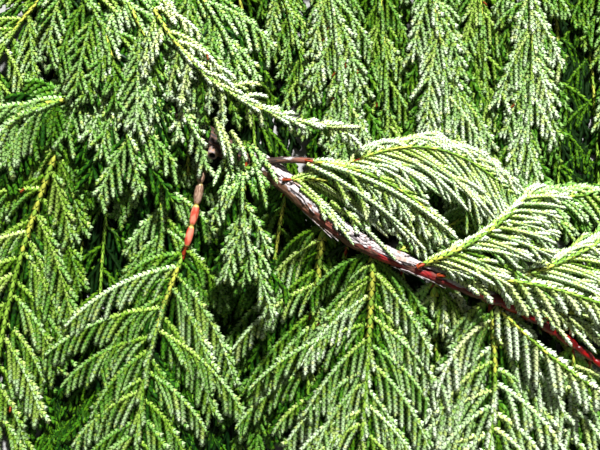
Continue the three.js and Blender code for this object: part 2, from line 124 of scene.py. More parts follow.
broadHanging = dict(size=1.14, fingers=1.7, wider=18, apart=1.35, plump=1.2)
upperLeft = dict(apart=1.12, paired=0.5, straight=0.6, over=True)
narrowTop = dict(fingers=1.3, wider=-14, stout=0.7, bare=0.12)
broadTop = dict(fingers=1.4, wider=-16, stout=0.7, bare=0.12, apart=1.15, plump=1.1)
sprays = {  # of the source
    "center_spray": sprayOn(
        "main_stem", -24, (-96, -66), 62, 32, (38, 35), 0.7, 0.1,
        size=1.06, fingers=1.4, wider=-6, apart=1.15, paired=0.4, straight=0.7, over=True,
    ),
    "arching_spray": sprayOn(
        "upper_bough", -76, (-64, -8), 134, 34, (31, 41), 0.88, 0.35, size=1.02, ends=0.35, over=True
    ),
    "upper_fan": sprayOn(
        "side_twig", None, (22, -44), 84, 50, (40, 36), 0.92, 0.2, size=0.8, stout=0.6, over=True
    ),
    "middle_fan": sprayOn(
        "main_stem", -8, (2, -44), 74, 40, (33, 32), 0.84, 0.4, size=0.88, stout=0.8, over=True
    ),
    "right_spray_near": sprayOn(
        "main_stem", 52, (22, 46), 62, 48, (41, 44), 0.91, 0.3, size=0.8, stout=1.2, over=True
    ),
    "right_spray_far": sprayOn(
        "main_stem", 77, (14, 38), 94, 58, (33, 32), 0.93, 0.25, size=0.86, stout=1.2, over=True
    ),
    "right_spray_front": sprayOn(
        "main_stem", 61, (-2, -24), 96, 36, (39, 36), 0.95, 0.4, size=1.12, plump=1.2, over=True
    ),
    "right_spray_low": sprayOn("main_stem", 107, (14, -20), 58, 46, (28, 24), 0.95, 0.35, over=True),
    "tip_spray": sprayOn("main_stem", None, (-36, -66), 52, 46, (21, 15), 0.86, 0.3, size=1.1, over=True),
    "hanging_spray_1": sprayOn(
        "main_stem", 11, (-96, -94), 94, 62, (20, 15), 0.67, 0.25,
        stout=1.7, fingers=1.25, bare=0.35, apart=1.05, plump=1.2,
    ),
    "hanging_spray_2": sprayOn(
        "main_stem", 33, (-92, -95), 100, 70, (26, 21), 0.78, 0.2,
        stout=1.7, fingers=1.35, bare=0.4, apart=1.08, plump=1.2,
    ),
    "hanging_spray_3": sprayOn(
        "main_stem", 60, (-84, -92), 90, 54, (14, 10), 0.88, 0.25,
        size=1.06, fingers=1.5, stout=1.6, bare=0.4, apart=1.2, plump=1.2,
    ),
    "hanging_spray_4": sprayOn(
        "main_stem", 86, (-84, -100), 86, 64, (25, 21), 0.89, 0.15, stout=1.4, bare=0.45, **broadHanging
    ),
    "hanging_spray_5": sprayOn("main_stem", 124, (-86, -104), 66, 56, (19, 15), 0.89, 0.15, **broadHanging),
    "upper_spray_1": sprayOn(
        "upper_bough", -96, (-76, -78), 94, 52, (21, 23), 0.69, 0.06,
        size=1.12, fingers=1.6, wider=-6, **upperLeft,
    ),
    "upper_spray_2": sprayOn(
        "upper_bough", -86, (-62, -64), 90, 52, (26.5, 25.5), 0.75, 0.06,
        size=1.14, fingers=1.6, wider=-6, ends=0.65, **upperLeft,
    ),
    "upper_spray_3": sprayOn(
        "upper_bough", -56, (-52, -66), 62, 40, (20, 26), 0.68, 0.1,
        size=1.1, fingers=1.5, wider=-6, **upperLeft,
    ),
    "upper_spray_4": sprayOn(
        "main_stem", -114, (-40, -84), 66, 44, (24, 27), 0.62, 0.2, size=1.06, fingers=1.5, **upperLeft
    ),
    "left_inner_spray": sprayOn(
        "main_stem", -76, (-74, -92), 96, 50, (12, 11), 0.63, 0.15,
        fingers=1.45, plump=1.2, paired=0.5, straight=0.7,
    ),
    "left_side_spray": sprayOn(
        "far_left_twig", -97, (-172, -124), 62, 40, (22, 19), 0.67, 0.12,
        size=1.06, fingers=1.7, stout=1.4, plump=1.25, apart=0.9, wider=-26, bare=0.2,
    ),
    "left_low_spray": sprayOn(
        "left_twig", None, (-112, -94), 106, 68, (19, 13), 0.68, 0.2,
        stout=1.35, fingers=1.35, wider=16, bare=0.2, plump=1.3,
    ),
    "far_left_spray": sprayOn(
        "far_left_twig", None, (-112, -97), 150, 62, (15, 10), 0.66, 0.35,
        fingers=1.35, stout=1.6, bare=0.9, plump=1.3,
    ),
    "left_top_spray": sprayOn("main_stem", -111, (-136, -96), 84, 50, (13, 15), 0.7, 0.3),
    "lower_middle_spray": sprayOn(
        "main_stem", -6, (-100, -92), 122, 54, (10, 8), 0.5, 0.1, fingers=1.3, plump=1.2
    ),
    "right_back_spray_1": sprayOn("main_stem", 40, (28, 2), 108, 46, (23, 16), 0.7, 0.15),
    "right_back_spray_2": sprayOn("main_stem", 88, (14, -16), 66, 40, (18, 14), 0.62, 0.2),
}
families = {  # and those of them that share a limb: their rows, and the looks that they take in turn
    "top_spray": ("upper_bough", [
        (-14, (-66, -86), 70, 34, (13, 11), 0.64, 0.3),
        (12, (-80, -88), 90, 42, (16, 15), 0.76, 0.2),
        (36, (-84, -90), 94, 42, (11, 10), 0.6, 0.35),
        (58, (-78, -90), 102, 44, (16, 15), 0.79, 0.2),
        (82, (-84, -92), 106, 44, (11, 10), 0.64, 0.4),
        (106, (-88, -98), 102, 44, (16, 15), 0.81, 0.2),
        (None, (-70, -92), 118, 44, (11, 10), 0.68, 0.3),
    ], (narrowTop, broadTop)),
    "low_spray": ("main_stem", [
        (-99, (-92, -90), 192, 60, (5, 4), 0.2, 0.4),
        (-51, (-92, -87), 142, 60, (5, 4), 0.2, 0.4),
        (22, (-100, -88), 106, 54, (5, 4), 0.2, 0.4),
        (46, (-84, -88), 92, 52, (5, 4), 0.2, 0.4),
        (97, (-92, -90), 74, 50, (5, 4), 0.2, 0.4),
        (-81, (-99, -90), 160, 50, (8, 7.5), 0.26, 0.4),
        (132, (-86, -90), 74, 46, (8, 7), 0.26, 0.4),
    ], ({},)),
    "low_top_spray": ("upper_bough", [
        (-36, (-78, -86), 66, 44, (5, 4), 0.2, 0.6),
        (24, (-84, -90), 96, 48, (5, 4), 0.2, 0.6),
        (70, (-86, -90), 108, 48, (5, 4), 0.2, 0.6),
        (118, (-86, -92), 112, 50, (5, 4), 0.2, 0.6),
    ], ({},)),
}
for family, (limbName, rows, looks) in families.items():
    for k, row in enumerate(rows):
        sprays[f"{family}_{k + 1}"] = sprayOn(limbName, *row, **looks[k % len(looks)])

# Finer sprays that fork from the source's own, each beside the spray it is of.
offshoots = {
    "upper_fan_fork": sprayOn(
        "side_twig", 2, (-8, -46), 74, 38, (39, 36), 0.84, 0.35,
        of="upper_fan", size=0.94, stout=0.7, over=True,
    ),
    "front_fork": sprayOn(
        "main_stem", 84, (-46, -33), 74, 44, (29, 29), 0.96, 0.25, of="hanging_spray_4", size=1.14, plump=1.25
    ),
    "hanging_fork": sprayOn(
        "main_stem", 56, (-46, -66), 40, 34, (26, 21), 0.88, 0.35, of="hanging_spray_3", size=1.1
    ),
}
for k, fork in enumerate([
    sprayOn("upper_bough", -30, (-82, -88), 116, 52, (5, 4), 0.27, 0.6, of="low_top_spray_1"),
    sprayOn("upper_bough", 20, (-86, -84), 132, 52, (5, 4), 0.27, 0.5, of="low_top_spray_2"),
    sprayOn("upper_bough", 70, (-86, -90), 150, 52, (4, 3.5), 0.27, 0.5, of="low_top_spray_3"),
    sprayOn("main_stem", -34, (-88, -92), 130, 56, (4, 3.5), 0.26, 0.4, of="low_spray_2"),
    sprayOn("main_stem", -113, (-92, -90), 216, 40, (4, 3.5), 0.26, 0.4, of="low_spray_1"),
    sprayOn("upper_bough", 132, (-84, -90), 150, 46, (4, 3.5), 0.27, 0.5, of="low_top_spray_4"),
    sprayOn("main_stem", 102, (-34, -88), 80, 44, (12, 5), 0.26, 0.4, of="low_spray_7"),
]):
    offshoots[f"shade_fork_{k + 1}"] = fork
sprays.update(offshoots)

# Sprays that are combs of long plain fingers. On the side of the weep and on the other side: how
# many degrees a finger leaves the stem at, the share of its way to the weep that it bends, and how
# long it is for its spray's width. near is the share of that length which fingers have at the root,
# and forked the share of the long fingers that carry smaller ones.
combs = {
    "upper_fan": dict(weep=(30, 0.38, 1.15), other=(42, 0.74, 0.62), near=0.85, pitch=4.0),
    "middle_fan": dict(weep=(30, 0.26, 0.9), other=(30, 0.5, 0.6), near=1.4, pitch=4.6),
    "right_spray_near": dict(weep=(40, 0.22, 0.85), other=(26, 0.42, 0.5), near=0.8, pitch=3.9),
    "right_spray_far": dict(weep=(28, 0.36, 1.0), other=(26, 0.4, 0.6), near=0.6, pitch=4.7),
    "right_spray_front": dict(weep=(34, 0.4, 0.72), other=(20, 0.4, 0.3), near=0.9, pitch=6.8, forked=0.25),
    "right_spray_low": dict(weep=(24, 0.34, 0.8), other=(34, 0.5, 0.6), near=0.7, pitch=4.8),
    "tip_spray": dict(weep=(36, 0.5, 0.95), other=(40, 0.5, 0.8), near=0.9, pitch=4.6),
    "right_back_spray_1": dict(weep=(40, 0.5, 0.9), other=(40, 0.55, 0.7), near=0.9, pitch=3.8),
    "right_back_spray_2": dict(weep=(40, 0.5, 0.9), other=(40, 0.55, 0.7), near=0.9, pitch=3.8),
    "upper_fan_fork": dict(weep=(22, 0.26, 0.9), other=(20, 0.3, 0.5), near=0.8, pitch=5.0),
    "front_fork": dict(weep=(42, 0.4, 0.6), other=(20, 0.3, 0.22), near=0.8, pitch=6.2, forked=0.0),
    "hanging_fork": dict(weep=(40, 0.6, 0.8), other=(30, 0.5, 0.5), near=0.9, pitch=6.4),
}
oneLayer = ("right_spray_front", "front_fork")  # combs with no second layer under them

# Numbers


def mix(a, b, share):
    return a + (b - a) * share


def smoothStep(value, low, high):
    share = np.clip((value - low) / (high - low), 0, 1)
    return share * share * (3 - 2 * share)


def wrapMultiply(a, b):
    return (a * b) & 0xFFFFFFFF


def seededNumbers(seed):  # the source's own row of numbers from 0 to 1
    state = seed

    def draw():
        nonlocal state
        state = (state + 0x6D2B79F5) & 0xFFFFFFFF
        jumbled = wrapMultiply(state ^ (state >> 15), 1 | state)
        stirred = (jumbled + wrapMultiply(jumbled ^ (jumbled >> 7), 61 | jumbled)) & 0xFFFFFFFF
        jumbled = stirred ^ jumbled
        return (jumbled ^ (jumbled >> 14)) / 2**32

    return draw


def seedOf(name):
    seed = 7
    for letter in name:
        seed = (wrapMultiply(seed, 31) + ord(letter)) & 0xFFFFFFFF
    return seed


def colour(red, green, blue):  # from a screen's 0 to 255 to Blender's linear light
    return tuple((part / 255) ** 2.2 for part in (red, green, blue)) + (1.0,)


def unitRows(rows):
    return rows / np.linalg.norm(rows, axis=1)[:, None]


# Limbs: a smooth curve through each limb's points, tapering from thick to thin


def curveAt(points, along):
    spans = len(points) - 1
    along = np.clip(np.atleast_1d(along), 0, 1) * spans
    first = np.minimum(along.astype(int), spans - 1)
    share = (along - first)[:, None]
    guide = np.vstack([2 * points[0] - points[1], points, 2 * points[-1] - points[-2]])
    before, start, end, after = (guide[first + k] for k in range(4))
    leaving = (end - before) / 2
    arriving = (after - start) / 2
    square = 3 * (end - start) - 2 * leaving - arriving
    cube = 2 * (start - end) + leaving + arriving
    return start + leaving * share + square * share**2 + cube * share**3


def limbPointAtX(limb, x):
    low, high = 0.0, 1.0
    rising = limb["points"][-1][0] > limb["points"][0][0]
    for _ in range(40):
        middle = (low + high) / 2
        before = curveAt(limb["points"], middle)[0][0] < x
        if before == rising:
            low = middle
        else:
            high = middle
    return curveAt(limb["points"], (low + high) / 2)[0]


def limbRadius(limb, along):
    return limb["thin"] + (limb["thick"] - limb["thin"]) * (1 - along ** limb["taper"])


def limbFrames(limb, along):  # places, and the ways across and over
    points, step = limb["points"], 1e-4
    ahead = unitRows(
        curveAt(points, np.clip(along + step, 0, 1)) - curveAt(points, np.clip(along - step, 0, 1))
    )
    across = unitRows(np.cross([0, 0, 1], ahead))
    return curveAt(points, along), across, np.cross(ahead, across)


for limb in limbs.values():
    limb["points"] = np.array(limb["through"], float)
    if "carrier" in limb:
        carrier, x = limb["carrier"]
        limb["points"] = np.vstack([limbPointAtX(limbs[carrier], x), limb["points"]])


def drawnLowCorner(limb):  # of the faceted tube that the source makes
    along = np.linspace(0, 1, limb["steps"] + 1)
    place, across, over = limbFrames(limb, along)
    radius = limbRadius(limb, along)[:, None]
    turns = np.arange(limb["sides"]) * 2 * math.pi / limb["sides"]
    rim = [place + radius * (math.cos(a) * across + math.sin(a) * over) for a in turns]
    return np.vstack(rim).min(axis=0)


frameLow = np.array(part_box("main_stem")[0]) / millimetre
drawingZero = drawnLowCorner(limbs["main_stem"]) - frameLow


def toFrame(points):
    return (np.asarray(points, float) - drawingZero) * millimetre


print("drawing's zero in the frame, mm:", np.round(-drawingZero, 3))

# Camera, straight over the middle of the view, as far off as its width needs
view = {"height": 700, "plane": 30, "width": 270, "sensor": 36, "nearest": 10}


def newObject(name, data):
    made = bpy.data.objects.new(name, data)
    bpy.context.scene.collection.objects.link(made)
    return made


camera = newObject("camera", bpy.data.cameras.new("camera"))
camera.data.sensor_width = view["sensor"]
camera.data.lens = view["sensor"] * (view["height"] - view["plane"]) / view["width"]
camera.data.clip_start = view["nearest"] * millimetre
camera.location = toFrame((0, 0, view["height"]))
bpy.context.scene.camera = camera
print("camera", round(camera.data.lens, 1), "mm")


def newMaterial(name):
    material = bpy.data.materials.new(name)
    material.use_nodes = True
    return material, material.node_tree, material.node_tree.nodes["Principled BSDF"]


# Finishes of leaves
leafFinish = {"Roughness": 0.5, "Specular IOR Level": 0.25}
greens = {  # from deep shade to full sun
    "cool": (
        (10, 40, 4), (30, 70, 8), (60, 106, 20), (92, 138, 52),
        (130, 168, 92), (165, 193, 136), (202, 219, 182),
    ),
    "warm": (
        (18, 40, 2), (40, 72, 4), (70, 108, 14), (100, 137, 39),
        (136, 166, 70), (171, 192, 110), (205, 219, 154),
    ),
}
tints = {f"{kind}_{k + 1}": row[k] for kind, row in greens.items() for k in range(len(row))}
tints.update({
    # the steps behind the scales' tips: a dark green that is painted shade
    "groove_shade_cool": (6, 32, 3),
    "groove_shade_warm": (14, 34, 2),
    "stem_red": (128, 50, 24),
    "stem_yellow": (172, 178, 70),
    "stem_lime": (130, 164, 60),
    "withered": (140, 74, 36),
})
tintOf = {name: index for index, name in enumerate(tints)}
lightSteps = len(greens["cool"])


def leafMaterial(name):
    material, tree, shader = newMaterial("leaf_" + name)
    shader.inputs["Base Color"].default_value = colour(*tints[name])
    for key, value in leafFinish.items():
        shader.inputs[key].default_value = value
    return material


leafMaterials = [leafMaterial(name) for name in tints]

# Sprays: the source's rule for a spray's stem, its bed and its side shoots


def pathFrom(root, headings, step):  # places in the plane, a step apart along a way that turns
    ways = np.radians(headings)
    moves = np.column_stack([step * np.cos(ways), step * np.sin(ways)])
    return np.vstack([np.zeros(2), np.cumsum(moves, axis=0)]) + root


def sprayAxis(spray):
    limb = limbs[spray["limb"]]
    if spray["x"] is None:
        start = curveAt(limb["points"], 1.0)[0]
    else:
        start = limbPointAtX(limb, spray["x"])
        start[2] += np.clip(spray["bed"][0] - start[2], -growth["seatShift"], growth["seatShift"])
    count = growth["stations"]
    headings = mix(*spray["turn"], smoothStep(np.arange(count + 1) / count, 0, 1))
    places = pathFrom(start[:2], headings[:-1], spray["long"] / count)
    chord = places[-1] - places[0]
    reach = np.linalg.norm(chord)
    return dict(start=start, places=places, headings=headings, chord=chord / reach, reach=reach, spray=spray)


def stationAt(axis, share):  # a place on a spray's stem, or a row of them, and the heading there
    at = np.clip(share, 0, 1) * growth["stations"]
    marks = np.arange(growth["stations"] + 1)
    place = np.stack([np.interp(at, marks, axis["places"][:, k]) for k in (0, 1)], axis=-1)
    return place, np.interp(at, marks, axis["headings"])


def bedHeight(axis, places):  # of a spray's bed under places in the plane
    near, far = axis["spray"]["bed"]
    chord = axis["chord"]
    off = places - axis["start"][:2]
    along = np.clip(off @ chord / axis["reach"], 0, growth["bedUpTo"])
    aside = (off[:, 0] * chord[1] - off[:, 1] * chord[0]) / axis["spray"]["wide"]
    rise = smoothStep(along, 0, growth["shoulder"])
    height = mix(axis["start"][2], mix(near, far, along), rise)
    return height - growth["cupping"] * rise * np.minimum(aside * aside, 1)


def lateralEnvelope(share):
    reach = growth["lateralReach"]
    return min(1, reach["root"] + reach["rise"] * share) * (1 - reach["fade"] * share ** reach["fadePower"])


def endsOf(spray, share):  # what a spray's own look leaves of its side shoots further on
    return mix(1.0, spray["ends"], smoothStep(share, *growth["endsOver"]))


def lastLateral(spray):
    return spray["long"] - growth["terminalLength"] / 2


def lateralsOf(axis, draw):
    spray = axis["spray"]

    def vary(most):
        return 1 - most + 2 * most * draw()

    laterals = []
    side = 1 if draw() < 0.5 else -1
    along = growth["firstLateral"]
    while along < lastLateral(spray):
        share = along / spray["long"]
        place, heading = stationAt(axis, share)
        heading += side * growth["lateralAngle"] * vary(growth["jitter"])
        length = spray["wide"] * lateralEnvelope(share) * vary(growth["lengthJitter"]) * endsOf(spray, share)
        laterals.append(dict(root=place, heading=heading, long=length, along=along, side=side))
        along += growth["lateralPitch"] * vary(growth["jitter"])
        side = -side
    place, heading = stationAt(axis, lastLateral(spray) / spray["long"])
    laterals.append(dict(root=place, heading=heading, long=growth["terminalLength"], side=0))
    return laterals


def degreesToWeep(heading):
    return (growth["weep"] - heading + 180) % 360 - 180


def bendOf(heading, droop, most):  # degrees, over a shoot's whole length
    return float(np.clip(degreesToWeep(heading) * droop, -most, most))


# Plaited shoots. A shoot is a chain of scale leaves in pairs, flat pairs and edge pairs in turn.
# Each scale is a kite that rises to its tip, with a small step down behind the tip.
plait = {
    "step": 0.42,  # of half a pitch: how far the step behind a scale's tip runs
    "sunk": 0.65,  # of a scale's height: how high its root lies
    "tipFrom": 0.82,  # of a shoot's length, where it starts to narrow
    "tipThinner": 0.35,
}
patterns = {}


def plaitPattern(pairs):  # the triangles of a shoot of so many pairs, and which scale each is on
    if pairs in patterns:
        return patterns[pairs]
    triangles = []
    scales = []
    last = [0, 1, 2, 3]

    def add(a, b, c, column, beside, scale):
        forward = (beside - column) % 4 == 1
        triangles.append((a, c, b) if forward else (a, b, c))
        scales.append(scale)

    add(0, 1, 2, 0, 3, -1)
    add(0, 2, 3, 0, 3, -1)
    for pair in range(pairs):
        first = 4 + 4 * pair
        columns = (1, 3) if pair % 2 == 0 else (0, 2)
        for k, column in enumerate(columns):
            tip, root = first + 2 * k, first + 2 * k + 1
            for beside in ((column + 1) % 4, (column - 1) % 4):
                add(last[column], tip, last[beside], column, beside, 2 * pair + k)
                add(tip, root, last[beside], column, beside, -1)
        for k, column in enumerate(columns):
            last[column] = first + 2 * k + 1
    end = 4 + 4 * pairs
    for column in range(4):
        add(last[column], end, last[(column + 1) % 4], column, (column + 1) % 4, 2 * pairs)
    patterns[pairs] = np.array(triangles), np.array(scales)
    return patterns[pairs]


def newBatch():
    return {"points": [], "triangles": [], "tints": [], "count": 0}


def addPlait(batch, middle, across, over, halfAcross, halfOver, scaleTints, grooveShadeTint):
    # middle holds the line's points: its root, one for each pair of scales, and its end
    pairs = len(middle) - 2
    edge = (np.arange(pairs) % 2 == 0)[:, None]
    way = np.where(edge, across[1:-1], over[1:-1])
    high = np.where(edge[:, 0], halfAcross[1:-1], halfOver[1:-1])[:, None]
    tip = middle[1:-1]
    root = tip + np.diff(middle, axis=0)[1:] * plait["step"]
    low = plait["sunk"]
    out, sunk = way * high, way * (high * low)
    quads = np.stack([tip + out, root + sunk, tip - out, root - sunk], axis=1)
    rim = np.array([over[0] * halfOver[0] * low, across[0] * halfAcross[0] * low])
    triangles, scales = plaitPattern(pairs)
    batch["points"].append(np.vstack([middle[0] + rim, middle[0] - rim, quads.reshape(-1, 3), middle[-1:]]))
    batch["triangles"].append(triangles + batch["count"])
    # The steps behind the scales' tips and the root's cap take the groove tint, which is painted shade.
    batch["tints"].append(np.append(scaleTints[: 2 * pairs + 1], grooveShadeTint)[scales])
    batch["count"] += 4 * pairs + 5


def shootLine(shoot, halfPitch):
    # Points along a shoot in the plane, half a pitch apart, with its headings in degrees.
    pairs = max(3, round(shoot["long"] / halfPitch) - 1)
    marks = np.arange(pairs + 2) / (pairs + 1)
    headings = shoot["heading"] + shoot["bend"] * marks
    middles = (headings[1:] + headings[:-1]) / 2
    return pathFrom(shoot["root"], middles, shoot["long"] / (pairs + 1)), headings, marks


def pointOn(shoot, share, distance):  # a place on a shoot, and its heading there
    part = dict(shoot, bend=shoot["bend"] * share, long=distance)
    places, headings, _ = shootLine(part, finger["probe"])
    return places[-1], headings[-1]


def shootWays(line, headings, roll):  # across and over each point, rolled round the shoot
    ahead = unitRows(np.gradient(line, axis=0))
    ways = np.radians(headings)
    level = np.stack([np.sin(ways), -np.cos(ways), np.zeros_like(ways)], axis=1)
    over = unitRows(np.cross(level, ahead))
    level = np.cross(ahead, over)
    turned = math.radians(roll)
    return (
        level * math.cos(turned) + over * math.sin(turned),
        over * math.cos(turned) - level * math.sin(turned),
    )


shoots = {  # half a pitch, half the width and height at the root, and what is left of them at the tip
    "stem": dict(halfPitch=2.2, across=1.35, over=1.15, keep=0.78, lift=0.9, rise=0.2),
    "lateral": dict(halfPitch=1.1, across=1.5, over=1.2, keep=0.85),
    "finger": dict(halfPitch=1.0, across=1.52, over=1.15, keep=0.92),
    "coarse": dict(halfPitch=1.6, across=1.5, over=1.1, keep=0.88),
    "withered": dict(halfPitch=0.75, across=0.8, over=0.7, keep=0.5),
}
fine = dict(lateral="lateral", finger="finger")
coarse = dict(lateral="coarse", finger="coarse")
sunWay = Vector((0.15, 0.75, 0.75)).normalized()
finger = {
    "pitch": 5.1,  # on each side of a lateral
    "pitches": (0.85, 1.15),
    "first": 2.4,
    "firstScatter": 0.5,
    "angle": 32,
    "scatter": 5,  # degrees
    "droop": (0.35, 0.65),
    "bend": 60,
    "roll": 16,
    "lift": 0.8,  # how far a finger's tip lies above or below its spray's bed
    "sag": -0.3,
    "probe": 2.0,  # steps in which its root is sought along its lateral
    "shortest": 3.0,
    "longest": 15,
    "share": 0.36,  # of the lateral's length, at its root
    "taper": 0.5,
    "lengths": (0.8, 1.15),
    "upperUpTo": 45,  # degrees between a lateral and the weep, past which its upper side is bare
    "withered": 0.006,  # the share of fingers that are dead, and short
    "witheredLift": 1.0,
}
lateral = {
    "scatter": 7,
    "lengths": (0.78, 1.08),
    "droop": (0.45, 0.85),
    "bend": 62,
    "lift": 1.0,
    "roll": 10,
    "own": 0.05,  # how much lighter or darker one is than the next
    "spine": 0.04,  # how much lighter than its fingers
}
shoulder = {  # short side shoots that leave the stem widely where it starts
    "first": 1.5,
    "upTo": 16,
    "pitch": 2.8,
    "pitchScatter": 0.15,
    "angle": (56, 76),
    "share": (0.5, 0.95),  # of the length of those beyond
    "droop": (0.6, 0.85),
    "bend": 75,
    "lift": (-0.4, -2.4),
    # painted shade: these lie under the shoots beyond
    "darker": 0.24,
}
overlay = {  # fingers that lie along the stem
    "pitch": 4.6,
    "pitchScatter": 0.2,
    "angle": 15,
    "long": (8, 15),
    "lift": (0.6, 1.3),
}
comb = {
    "first": 4,
    "shortOf": 3,  # the stem's tip
    "pitchScatter": 0.15,
    "scatter": 5,
    "droops": (0.8, 1.2),
    "bend": 110,
    "nearUpTo": 0.4,  # of the stem
    "sag": -0.2,
    "rootSunk": -0.3,  # how far a lower layer lies under the stem at its fingers' roots, of its depth
    "lengths": (0.7, 1.08),
    "forkFrom": 15,  # millimetres: a longer finger may carry smaller ones
    "forked": 0.7,
    "forks": (0.35, 0.55, 0.72),
    "forkPlaces": (0.85, 1.15),
    "forkAngle": 26,
    "forkAngles": (0.8, 1.2),
    "forkLength": 0.42,
    "forkTaper": 0.5,
    "forkSag": -0.5,
    # under: a sparser layer of fingers, sunk beneath the first and painted darker as painted shade
    "under": dict(sunk=3.0, darker=0.3, sparser=0.9),
}
# Laterals across from others lie a little lower, and their darker tint is painted shade.
opposite = {"further": 3.5, "share": (0.8, 1.05), "lift": (-0.3, -1.2), "darker": 0.1}  # across
between = {  # the weaker side shoots under the others
    "first": 4,
    "pitch": 7.5,
    "pitchScatter": 0.1,
    "share": 0.85,  # of the length of those beside them
    "lengths": (0.8, 1.1),
    "angle": 36,
    "angles": (0.8, 1.2),
    "droop": 0.5,
    "bend": 42,
    "wider": 0.5,  # where a spray ends
    "lift": (-0.6, -4.4),
    # painted shade: these lie under the others
    "darker": 0.48,
}
ending = {
    "from": 22,
    "pitch": 2.8,
    "pitchScatter": 0,
    "angle": (24, 66),
    "long": (18, 30),
    "droop": 0.3,
    "lift": (0.0, -1.0),
}
room = {"stem": 1.4, "ground": 1.3}  # how far a shoot's middle line stays from them
lowestPoint = drawingZero[2] + room["ground"]
paintedSunAndTone = {  # painted sunlight and shade on a scale, and its own tone, in shares of the way from deep shade to full sun
    "flat": -0.03,
    "edge": 0.03,
    # painted sunlight on an edge scale's sunny side, painted shade on its other side
    "sunny": 0.15,
    # painted sunlight on the last pairs of a shoot in a sunlit spray
    "fresh": 0.07,
    "freshPairs": 3,
    "scatter": 0.02,
    "own": 0.045,
    "sunlitFrom": 0.45,  # the light in which a spray starts to be pale at its tips
    "sunlitOver": 0.35,
}
# In a sunlit spray, painted shade darkens a shoot towards its root and painted sunlight pales it towards its
# tip.
toTip = {"lateral": 0.15, "finger": 0.33, "coarse": 0.2}  # from a shoot's root to its tip
warmth = {"spread": 0.22, "early": 0.2, "mixed": 0.14}  # warm at a shoot's root, mixed further on


def leafTints(site, kind, marks, across, lighter):
    # Painted sunlight pales a shoot's sunny side and, in a sunlit spray, its tip; the last row is its end's.
    spray, rng = site["spray"], site["rng"]
    pairs = len(across) - 2
    light = spray["light"] + lighter + rng.normal(0, paintedSunAndTone["own"])
    edge = np.arange(pairs) % 2 == 0
    # Painted sunlight and shade: an edge scale is paler the more it faces the sun, darker facing away.
    sunny = across[1:-1] @ np.array(sunWay)
    sides = [np.where(edge, paintedSunAndTone["edge"] + sign * paintedSunAndTone["sunny"] * sunny, paintedSunAndTone["flat"]) for sign in (1, -1)]
    levels = light + np.stack(sides, axis=1).ravel() + rng.normal(0, paintedSunAndTone["scatter"], 2 * pairs)
    sunlit = np.clip((spray["light"] - paintedSunAndTone["sunlitFrom"]) / paintedSunAndTone["sunlitOver"], 0, 1)
    # painted shade at the root, painted sunlight at the tip
    levels += np.repeat(toTip.get(kind, 0) * sunlit * (marks[1:-1] - 0.5), 2)
    # painted sunlight on the last pairs at the tip
    levels += np.repeat(np.arange(pairs)[::-1] < paintedSunAndTone["freshPairs"], 2) * paintedSunAndTone["fresh"] * sunlit
    levels = np.clip(np.round(levels * (lightSteps - 1)), 0, lightSteps - 1)
    warmUpTo = rng.normal(2 * spray["warm"] - warmth["early"], warmth["spread"])
    warm = np.repeat(marks[1:-1] < warmUpTo, 2) | (rng.random(2 * pairs) < warmth["mixed"])
    row = (levels + lightSteps * warm).astype(int)
    return np.append(row, row[-1])


stemMarks = np.linspace(0, 1, 240)
stemLine = curveAt(limbs["main_stem"]["points"], stemMarks)
stemRadius = limbRadius(limbs["main_stem"], stemMarks)


def shootHeights(site, places, lift):  # shoots that cross the main stem pass over it, or under it
    heights = bedHeight(site["axis"], places) + lift
    far = np.hypot(places[:, None, 0] - stemLine[None, :, 0], places[:, None, 1] - stemLine[None, :, 1])
    nearest = far.argmin(axis=1)
    rise = np.sqrt(np.maximum((stemRadius[nearest] + room["stem"]) ** 2 - far.min(axis=1) ** 2, 0))
    passing, sign = (np.maximum, 1) if site["spray"]["over"] else (np.minimum, -1)
    heights = np.where(rise > 0, passing(heights, stemLine[nearest, 2] + sign * rise), heights)
    return np.column_stack([places, np.maximum(heights, lowestPoint)])


def addShoot(site, kind, shoot, lift, lighter=0.0, roll=finger["roll"]):
    shape, spray = shoots[kind], site["spray"]
    rolled = site["rng"].uniform(-roll, roll)
    places, headings, marks = shootLine(shoot, shape["halfPitch"] * spray["size"])
    line = shootHeights(site, places, mix(*lift, marks))
    across, over = shootWays(line, headings, rolled)
    slim = spray["size"] * mix(1.0, shape["keep"], marks)
    slim *= 1 - plait["tipThinner"] * smoothStep(marks, plait["tipFrom"], 1.0)
    slim *= spray["plump"]
    tintRow = leafTints(site, kind, marks, across, lighter)
    if kind == "withered":
        tintRow[:] = tintOf["withered"]
    # painted shade in the steps behind the scales' tips
    groove = tintOf["groove_shade_warm" if spray["warm"] > 0.5 else "groove_shade_cool"]
    halves = shape["across"] * slim, shape["over"] * slim
    addPlait(site["leaves"], line, across, over, *halves, tintRow, groove)


